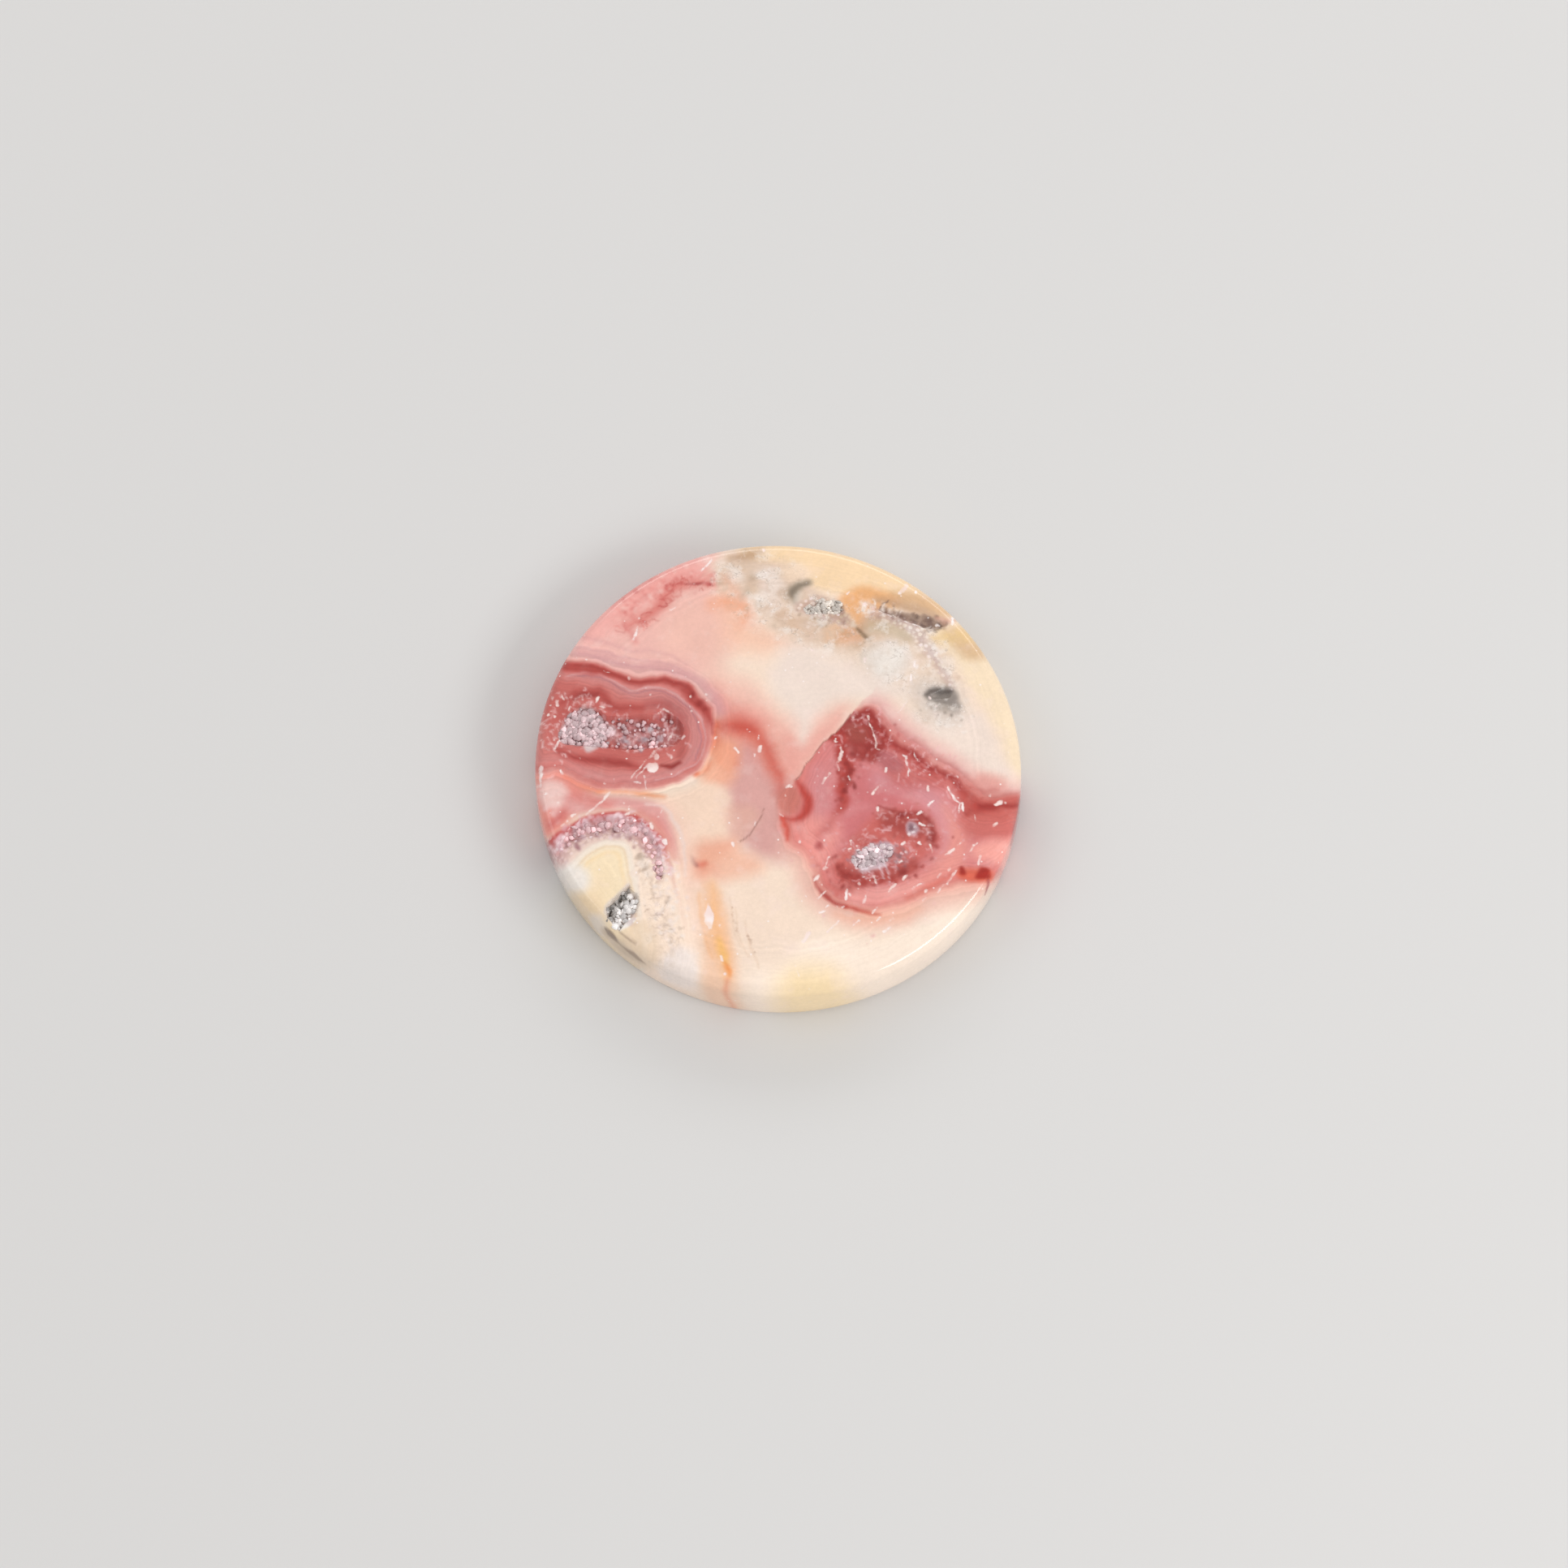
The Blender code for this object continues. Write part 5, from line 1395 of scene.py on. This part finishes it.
class Nodes:
    """Short calls for building a material's node tree."""

    def __init__(self, name):
        self.material = bpy.data.materials.new(name)
        self.material.use_nodes = True
        self.tree = self.material.node_tree
        self.shader = self.tree.nodes["Principled BSDF"]

    def add(self, kind, **settings):
        node = self.tree.nodes.new(kind)
        for key, value in settings.items():
            setattr(node, key, value)
        return node

    def link(self, source, target):
        if isinstance(source, (int, float, tuple)):
            target.default_value = source
        else:
            self.tree.links.new(source, target)

    def attribute(self, name, output="Fac"):
        return self.add("ShaderNodeAttribute", attribute_name=name).outputs[output]

    def math(self, operation, *values):
        node = self.add("ShaderNodeMath", operation=operation)
        for value, socket in zip(values, node.inputs):
            self.link(value, socket)
        return node.outputs[0]

    def remap(self, value, low, high, to_low=0.0, to_high=1.0):
        node = self.add("ShaderNodeMapRange", interpolation_type="SMOOTHSTEP")
        for given, socket in zip((value, low, high, to_low, to_high), node.inputs):
            self.link(given, socket)
        return node.outputs[0]

    def noise(self, scale, detail=2.0, roughness=0.5, w=None):
        """Noise of a scale in lumps per metre, on the object's own coordinates or along one value."""
        node = self.add("ShaderNodeTexNoise", noise_dimensions="1D" if w is not None else "3D")
        self.link(scale, node.inputs["Scale"])
        self.link(detail, node.inputs["Detail"])
        self.link(roughness, node.inputs["Roughness"])
        if w is not None:
            self.link(w, node.inputs["W"])
        else:
            self.link(self.place(), node.inputs["Vector"])
        return node.outputs["Fac"]

    def cells(self, scale):
        node = self.add("ShaderNodeTexVoronoi")
        self.link(scale, node.inputs["Scale"])
        self.link(self.place(), node.inputs["Vector"])
        return node.outputs

    def place(self):
        return self.add("ShaderNodeTexCoord").outputs["Object"]

    def mix(self, share, first, second):
        node = self.add("ShaderNodeMix", data_type="RGBA")
        self.link(share, node.inputs["Factor"])
        self.link(first, node.inputs[6])
        self.link(second, node.inputs[7])
        return node.outputs[2]

    def scaled(self, colour, factor):
        node = self.add("ShaderNodeVectorMath", operation="SCALE")
        self.link(colour, node.inputs[0])
        self.link(factor, node.inputs["Scale"])
        return node.outputs[0]

    def bump(self, height, strength, distance):
        node = self.add("ShaderNodeBump")
        self.link(strength, node.inputs["Strength"])
        self.link(distance, node.inputs["Distance"])
        self.link(height, node.inputs["Height"])
        self.link(node.outputs[0], self.shader.inputs["Normal"])


QUARTZ_IOR = 1.54


def rgba(colour):
    return (*(float(c) for c in linear(colour)), 1.0)


def agate_material():
    """Painted markings, with fine bands, clouds, quartz grain, bright flecks and painted glints worked in by
    nodes.
    """
    n = Nodes("lace_agate")
    wobble = n.math("MULTIPLY", n.noise(900.0, 3.0), 0.5)
    band_depth = n.math("ADD", n.attribute("band_depth"), wobble)
    fine = n.noise(1.0, 1.0, 0.5, w=n.math("MULTIPLY", band_depth, 4.5))
    broad = n.noise(1.0, 0.0, 0.5, w=n.math("MULTIPLY", band_depth, 1.4))
    both = n.math("ADD", n.math("MULTIPLY", fine, 0.7), n.math("MULTIPLY", broad, 0.3))
    shown = n.math("MULTIPLY", n.math("SUBTRACT", both, 0.5), n.attribute("band_strength"))
    bands = n.math("MULTIPLY_ADD", shown, 0.65, 1.0)

    clouds = n.math("MULTIPLY_ADD", n.noise(450.0, 4.0, 0.6), 0.18, 0.91)
    grain = n.math("MULTIPLY_ADD", n.noise(4000.0, 4.0, 0.7), 0.22, 0.89)
    shade = n.math("MULTIPLY", bands, n.math("MULTIPLY", clouds, grain))
    colour = n.scaled(n.attribute("markings", "Color"), shade)
    milk = n.remap(n.noise(800.0, 4.0, 0.6), 0.5, 0.75, 0.0, 0.22)
    colour = n.mix(n.math("MULTIPLY", milk, n.attribute("milk")), colour, rgba(MILK))

    frost = n.attribute("frost")
    mottle = n.noise(1000.0, 5.0, 0.65)
    pale = n.math("MULTIPLY", frost, n.remap(mottle, 0.48, 0.68, 0.0, 0.55))
    colour = n.mix(pale, colour, rgba(FROST_LIGHT))
    colour = n.mix(n.math("MULTIPLY", frost, n.remap(mottle, 0.48, 0.3, 0.0, 0.3)), colour, rgba(FROST_DARK))
    pits = n.remap(n.noise(2200.0, 3.0, 0.6), 0.4, 0.28, 0.0, 0.15)
    curl = n.math("ABSOLUTE", n.math("SUBTRACT", n.noise(1700.0, 2.0, 0.55), 0.5))
    curls = n.math("MULTIPLY", n.remap(curl, 0.022, 0.0), n.remap(mottle, 0.4, 0.6, 0.0, 0.4))
    pits = n.math("MAXIMUM", pits, curls)
    colour = n.mix(n.math("MULTIPLY", frost, pits), colour, rgba(FROST_PIT))

    sugar = n.attribute("sugar")
    crystals = n.cells(3200.0)
    luck = n.math("FRACT", n.math("MULTIPLY", crystals["Color"], 7.31))
    gap = n.remap(crystals["Distance"], 0.3, 0.6, 0.0, 0.35)
    colour = n.mix(n.math("MULTIPLY", gap, sugar), colour, rgba(SUGAR_GAP))
    # Pale grain centres: the sugary quartz's own white, with painted glints on some of the grains
    sugar_grain_and_glint = n.math("MULTIPLY", n.remap(crystals["Distance"], 0.45, 0.15), n.remap(luck, 0.35, 1.0, 0.0, 0.8))
    colour = n.mix(n.math("MULTIPLY", sugar_grain_and_glint, sugar), colour, rgba(SUGAR_WHITE))

    # Painted glints: small bright dots scattered all over the stone
    dots = n.cells(1500.0)
    lucky = n.math("FRACT", n.math("MULTIPLY", dots["Color"], 5.17))
    glint_dot = n.math("MULTIPLY", n.remap(dots["Distance"], 0.13, 0.04), n.remap(lucky, 0.2, 1.0, 0.0, 0.8))
    colour = n.mix(glint_dot, colour, rgba(GLINT_AND_CHIP_WHITE))

    # Bright flecks: the chips' own white, with painted glints where their open edges catch the light
    edge = n.math("MULTIPLY_ADD", n.noise(3800.0, 3.0), 0.2, n.math("SUBTRACT", n.attribute("fleck"), 0.09))
    clear = n.remap(n.noise(1100.0, 2.0), 0.3, 0.6, 0.5, 1.0)
    fleck = n.math("MULTIPLY", n.remap(edge, -0.03, 0.08), clear)
    chip_white_and_glint = n.mix(n.remap(n.noise(420.0, 2.0), 0.4, 0.6), rgba(MILK), rgba(GLINT_AND_CHIP_WHITE))
    colour = n.mix(fleck, colour, chip_white_and_glint)
    n.link(colour, n.shader.inputs["Base Color"])

    pocket = n.attribute("pocket")
    polish = n.math("MULTIPLY_ADD", n.noise(2500.0, 3.0), 0.06, 0.07)
    rough = n.math("MULTIPLY_ADD", pocket, 0.35, n.math("MULTIPLY_ADD", sugar, 0.08, polish))
    n.link(rough, n.shader.inputs["Roughness"])
    gritty = n.math("MULTIPLY", n.noise(9000.0, 4.0, 0.7), pocket)
    relief = n.math("ADD", gritty, n.math("MULTIPLY", fleck, -0.4))
    n.bump(relief, 0.5, 0.00008)
    n.shader.inputs["IOR"].default_value = QUARTZ_IOR
    return n.material


def druse_material(name, light, dark):
    """Small quartz points: glassy, pale at the tips as painted light, dull and darker towards the feet as
    painted shade, with a random tone.
    """
    n = Nodes(name)
    height = n.attribute("tip")
    # Painted shade: darker towards each point's foot and lighter at its tip, broken up by noise
    foot_shade_and_tone = n.remap(n.math("MULTIPLY_ADD", n.noise(3500.0, 2.0), 0.5, height), 0.25, 1.0)
    colour = n.mix(foot_shade_and_tone, rgba(dark), rgba(light))
    n.link(n.scaled(colour, n.attribute("tone_and_glint")), n.shader.inputs["Base Color"])
    n.link(n.math("MULTIPLY_ADD", n.noise(5000.0, 2.0), 0.15, 0.06), n.shader.inputs["Roughness"])
    n.bump(n.noise(12000.0, 3.0), 0.25, 0.00004)
    n.shader.inputs["IOR"].default_value = QUARTZ_IOR
    return n.material


def crystal(rng, foot, axis, width, height):
    """One six-sided quartz point as points, faces and how near the tip each point is."""
    axis = axis.normalized()
    side = axis.orthogonal().normalized()
    side.rotate(Quaternion(axis, rng.uniform(0.0, math.pi)))
    across = axis.cross(side)
    shoulder = height * rng.uniform(0.35, 0.6)
    points = []
    for level in (0.0, shoulder):
        for corner in range(6):
            turn = math.pi * corner / 3.0
            reach = 0.5 * width * (1.0 + 0.15 * rng.uniform(-1.0, 1.0))
            points.append(foot + axis * level + (side * math.cos(turn) + across * math.sin(turn)) * reach)
    points.append(foot + axis * height)
    triangles = []
    for corner in range(6):
        after = (corner + 1) % 6
        triangles += [(corner, after, 6 + after), (corner, 6 + after, 6 + corner)]
        triangles.append((6 + corner, 6 + after, 12))
    return points, triangles, [0.0] * 6 + [0.7] * 6 + [1.0]


# The quartz points: how far they lean, how far rows stand apart, how often one is painted brighter as a glint
# and by how much, and their range of tone
CRYSTAL_LEAN = 0.9
ROW_STEP = 0.866
SPOT_SHIFT = 0.3
GLINT_SHARE = 0.15
GLINT_GAIN = 1.4
TONE_RANGE = (0.55, 1.05)
SUNK_FOOT = 0.05


def druse(name, chain, spacing, width, share, material, seed):
    """Quartz points packed over a pocket's floor, joined in one mesh, with their tips below the face."""
    rng = random.Random(seed)
    reach = max(r for x, y, r in chain)
    xs = [x for x, y, r in chain]
    ys = [y for x, y, r in chain]
    spots = []
    for row in range(int((max(ys) - min(ys) + 2 * reach) / (spacing * ROW_STEP)) + 1):
        for column in range(int((max(xs) - min(xs) + 2 * reach) / spacing) + 1):
            x = min(xs) - reach + (column + 0.5 * (row % 2) + rng.uniform(-SPOT_SHIFT, SPOT_SHIFT)) * spacing
            y = min(ys) - reach + (row * ROW_STEP + rng.uniform(-SPOT_SHIFT, SPOT_SHIFT)) * spacing
            if rng.random() < share:
                spots.append((x, y))
    spots = np.array(spots)
    inside = depth_in_chain(spots, chain)
    sunk = pocket_depth(spots)
    points, triangles, tips, tones_and_glints = [], [], [], []
    for (x, y), depth, drop in zip(spots, inside, sunk):
        if depth < 0.02 or drop < 0.06:
            continue
        face = face_height(x, y)
        foot = Vector((x, y, face - drop - SUNK_FOOT))
        # A few points are painted brighter than their colour, as glints
        bright = GLINT_GAIN if rng.random() < GLINT_SHARE else 1.0
        lean = [rng.uniform(-CRYSTAL_LEAN, CRYSTAL_LEAN) for _ in range(2)]
        axis = Vector((*lean, 1.0))
        height = (drop + SUNK_FOOT) * rng.uniform(0.55, 0.93)
        made = crystal(rng, foot, axis, width * rng.uniform(0.5, 1.6), height)
        start = len(points)
        points += [tuple(p) for p in made[0]]
        triangles += [tuple(start + i for i in t) for t in made[1]]
        tips += made[2]
        tones_and_glints += [bright * rng.uniform(*TONE_RANGE)] * len(made[0])
    thing = mesh_object(name, np.array(points), np.array(triangles))
    for field, values in (("tip", tips), ("tone_and_glint", tones_and_glints)):
        thing.data.attributes.new(field, "FLOAT", "POINT").data.foreach_set("value", values)
    thing.data.materials.append(material)
    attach(thing, "root")


# The quartz points' colours, at the tips and, darkened as painted shade, between them
DRUSE_COLOURS = {
    "clear": ((236, 226, 216), (176, 156, 142)),
    "silver": ((238, 208, 212), (188, 132, 134)),
    "rose": ((244, 206, 210), (156, 84, 88)),
    "pink": ((250, 208, 212), (184, 112, 116)),
    "lilac": ((242, 220, 224), (190, 152, 158)),
    "shaded": ((182, 176, 172), (140, 133, 127)),
    "white": ((255, 250, 248), (214, 200, 190)),
}

# The pieces of quartz points: name, chain of circles, spacing, width, share kept, colours, seed
DRUSES = [
    ("left_eye_druse", [(-12.8, 1.9, 0.7), (-12.0, 2.5, 1.2), (-11.4, 1.8, 1.0), (-10.7, 2.2, 0.5)],
     0.2, 0.38, 0.9, "silver", 1),
    ("left_eye_sparse_druse", [(-10.0, 2.0, 1.1), (-8.5, 1.8, 1.1), (-7.0, 2.0, 1.0)],
     0.25, 0.22, 0.26, "rose", 2),
    ("right_eye_druse", [(5.1, -6.3, 0.75), (6.4, -6.0, 0.65)], 0.24, 0.4, 0.6, "lilac", 3),
    ("silver_vug_druse", POCKETS["silver_vug"][1], 0.18, 0.3, 0.9, "clear", 5),
    ("arch_druse", POCKETS["arch_crust"][1], 0.34, 0.36, 0.5, "pink", 6),
    # The angular vug's points come in two copies: a shaded one, darker as painted shade, along its upper
    # left, and a white one for the paler, lit crystals at its lower right
    ("angular_vug_shaded_druse", [(-9.4, -8.6, 0.5), (-10.0, -9.4, 0.5), (-10.1, -10.0, 0.4)],
     0.2, 0.3, 0.85, "shaded", 7),
    ("angular_vug_white_druse", [(-8.8, -8.9, 0.4), (-9.1, -9.6, 0.6), (-9.6, -10.3, 0.5)],
     0.2, 0.34, 0.7, "white", 8),
]


def make_druses():
    """Every piece of quartz points, each in its own colours."""
    materials = {name: druse_material(name + "_druse", *pair) for name, pair in DRUSE_COLOURS.items()}
    for name, chain, spacing, width, share, colours, seed in DRUSES:
        druse(name, chain, spacing, width, share, materials[colours], seed)


# The floor, in metres, and the light
FLOOR_HALF = 0.6
FLOOR_COLOUR = (0.7, 0.695, 0.69, 1.0)
FLOOR_ROUGHNESS = 0.9


def make_floor():
    """A plain pale surface under the stone."""
    floor = bpy.data.objects.new("floor", bpy.data.meshes.new("floor"))
    half = FLOOR_HALF
    corners = [(-half, -half, 0.0), (half, -half, 0.0), (half, half, 0.0), (-half, half, 0.0)]
    floor.data.from_pydata(corners, [], [(0, 1, 2, 3)])
    bpy.context.scene.collection.objects.link(floor)
    n = Nodes("floor_paper")
    n.shader.inputs["Base Color"].default_value = FLOOR_COLOUR
    n.shader.inputs["Roughness"].default_value = FLOOR_ROUGHNESS
    floor.data.materials.append(n.material)


# The lights: name, place and size in metres, power in watts
LIGHTS = [
    ("behind", (0.03, 0.36, 0.2), (0.5, 0.14), 0.45),
    ("left", (-0.3, 0.02, 0.3), (0.2, 0.2), 0.15),
    ("front_right", (0.26, -0.165, 0.21), (0.24, 0.1), 0.5),
]
LIGHT_AIM = Vector((0.0, 0.0, 0.002))
ROOM_COLOUR = (1.0, 0.985, 0.97, 1.0)
ROOM_STRENGTH = 0.68


def add_light(name, place, size, power):
    """A soft rectangular light turned towards the stone."""
    light = bpy.data.lights.new(name, "AREA")
    light.shape = "RECTANGLE"
    light.size, light.size_y = size
    light.energy = power
    lamp = bpy.data.objects.new(name, light)
    lamp.location = place
    lamp.rotation_euler = (LIGHT_AIM - Vector(place)).to_track_quat("-Z", "Y").to_euler()
    bpy.context.scene.collection.objects.link(lamp)


def make_lights():
    """Plain soft studio light: a pale room, a wide strip behind, and a low one at the front right."""
    for light in LIGHTS:
        add_light(*light)
    world = bpy.data.worlds.new("room")
    world.use_nodes = True
    background = world.node_tree.nodes["Background"]
    background.inputs["Color"].default_value = ROOM_COLOUR
    background.inputs["Strength"].default_value = ROOM_STRENGTH
    bpy.context.scene.world = world
    bpy.context.scene.view_settings.view_transform = "Standard"


CAMERA_AIM = Vector((0.00036, -0.00053, 0.00156))
CAMERA_ELEVATION = math.radians(68.0)
CAMERA_DISTANCE = 0.2686
CAMERA_LENS = 100.0
CAMERA_CLIP = (0.01, 10.0)
SENSOR_WIDTH = 36.0


def make_camera():
    """The photograph's own view: from the front, high above the face."""
    data = bpy.data.cameras.new("camera")
    data.lens = CAMERA_LENS
    data.sensor_width = SENSOR_WIDTH
    data.clip_start, data.clip_end = CAMERA_CLIP
    camera = bpy.data.objects.new("camera", data)
    back = Vector((0.0, -math.cos(CAMERA_ELEVATION), math.sin(CAMERA_ELEVATION)))
    camera.location = CAMERA_AIM + back * CAMERA_DISTANCE
    camera.rotation_euler = (-back).to_track_quat("-Z", "Y").to_euler()
    bpy.context.scene.collection.objects.link(camera)
    bpy.context.scene.camera = camera


make_camera()
make_stone()
make_druses()
make_floor()
make_lights()
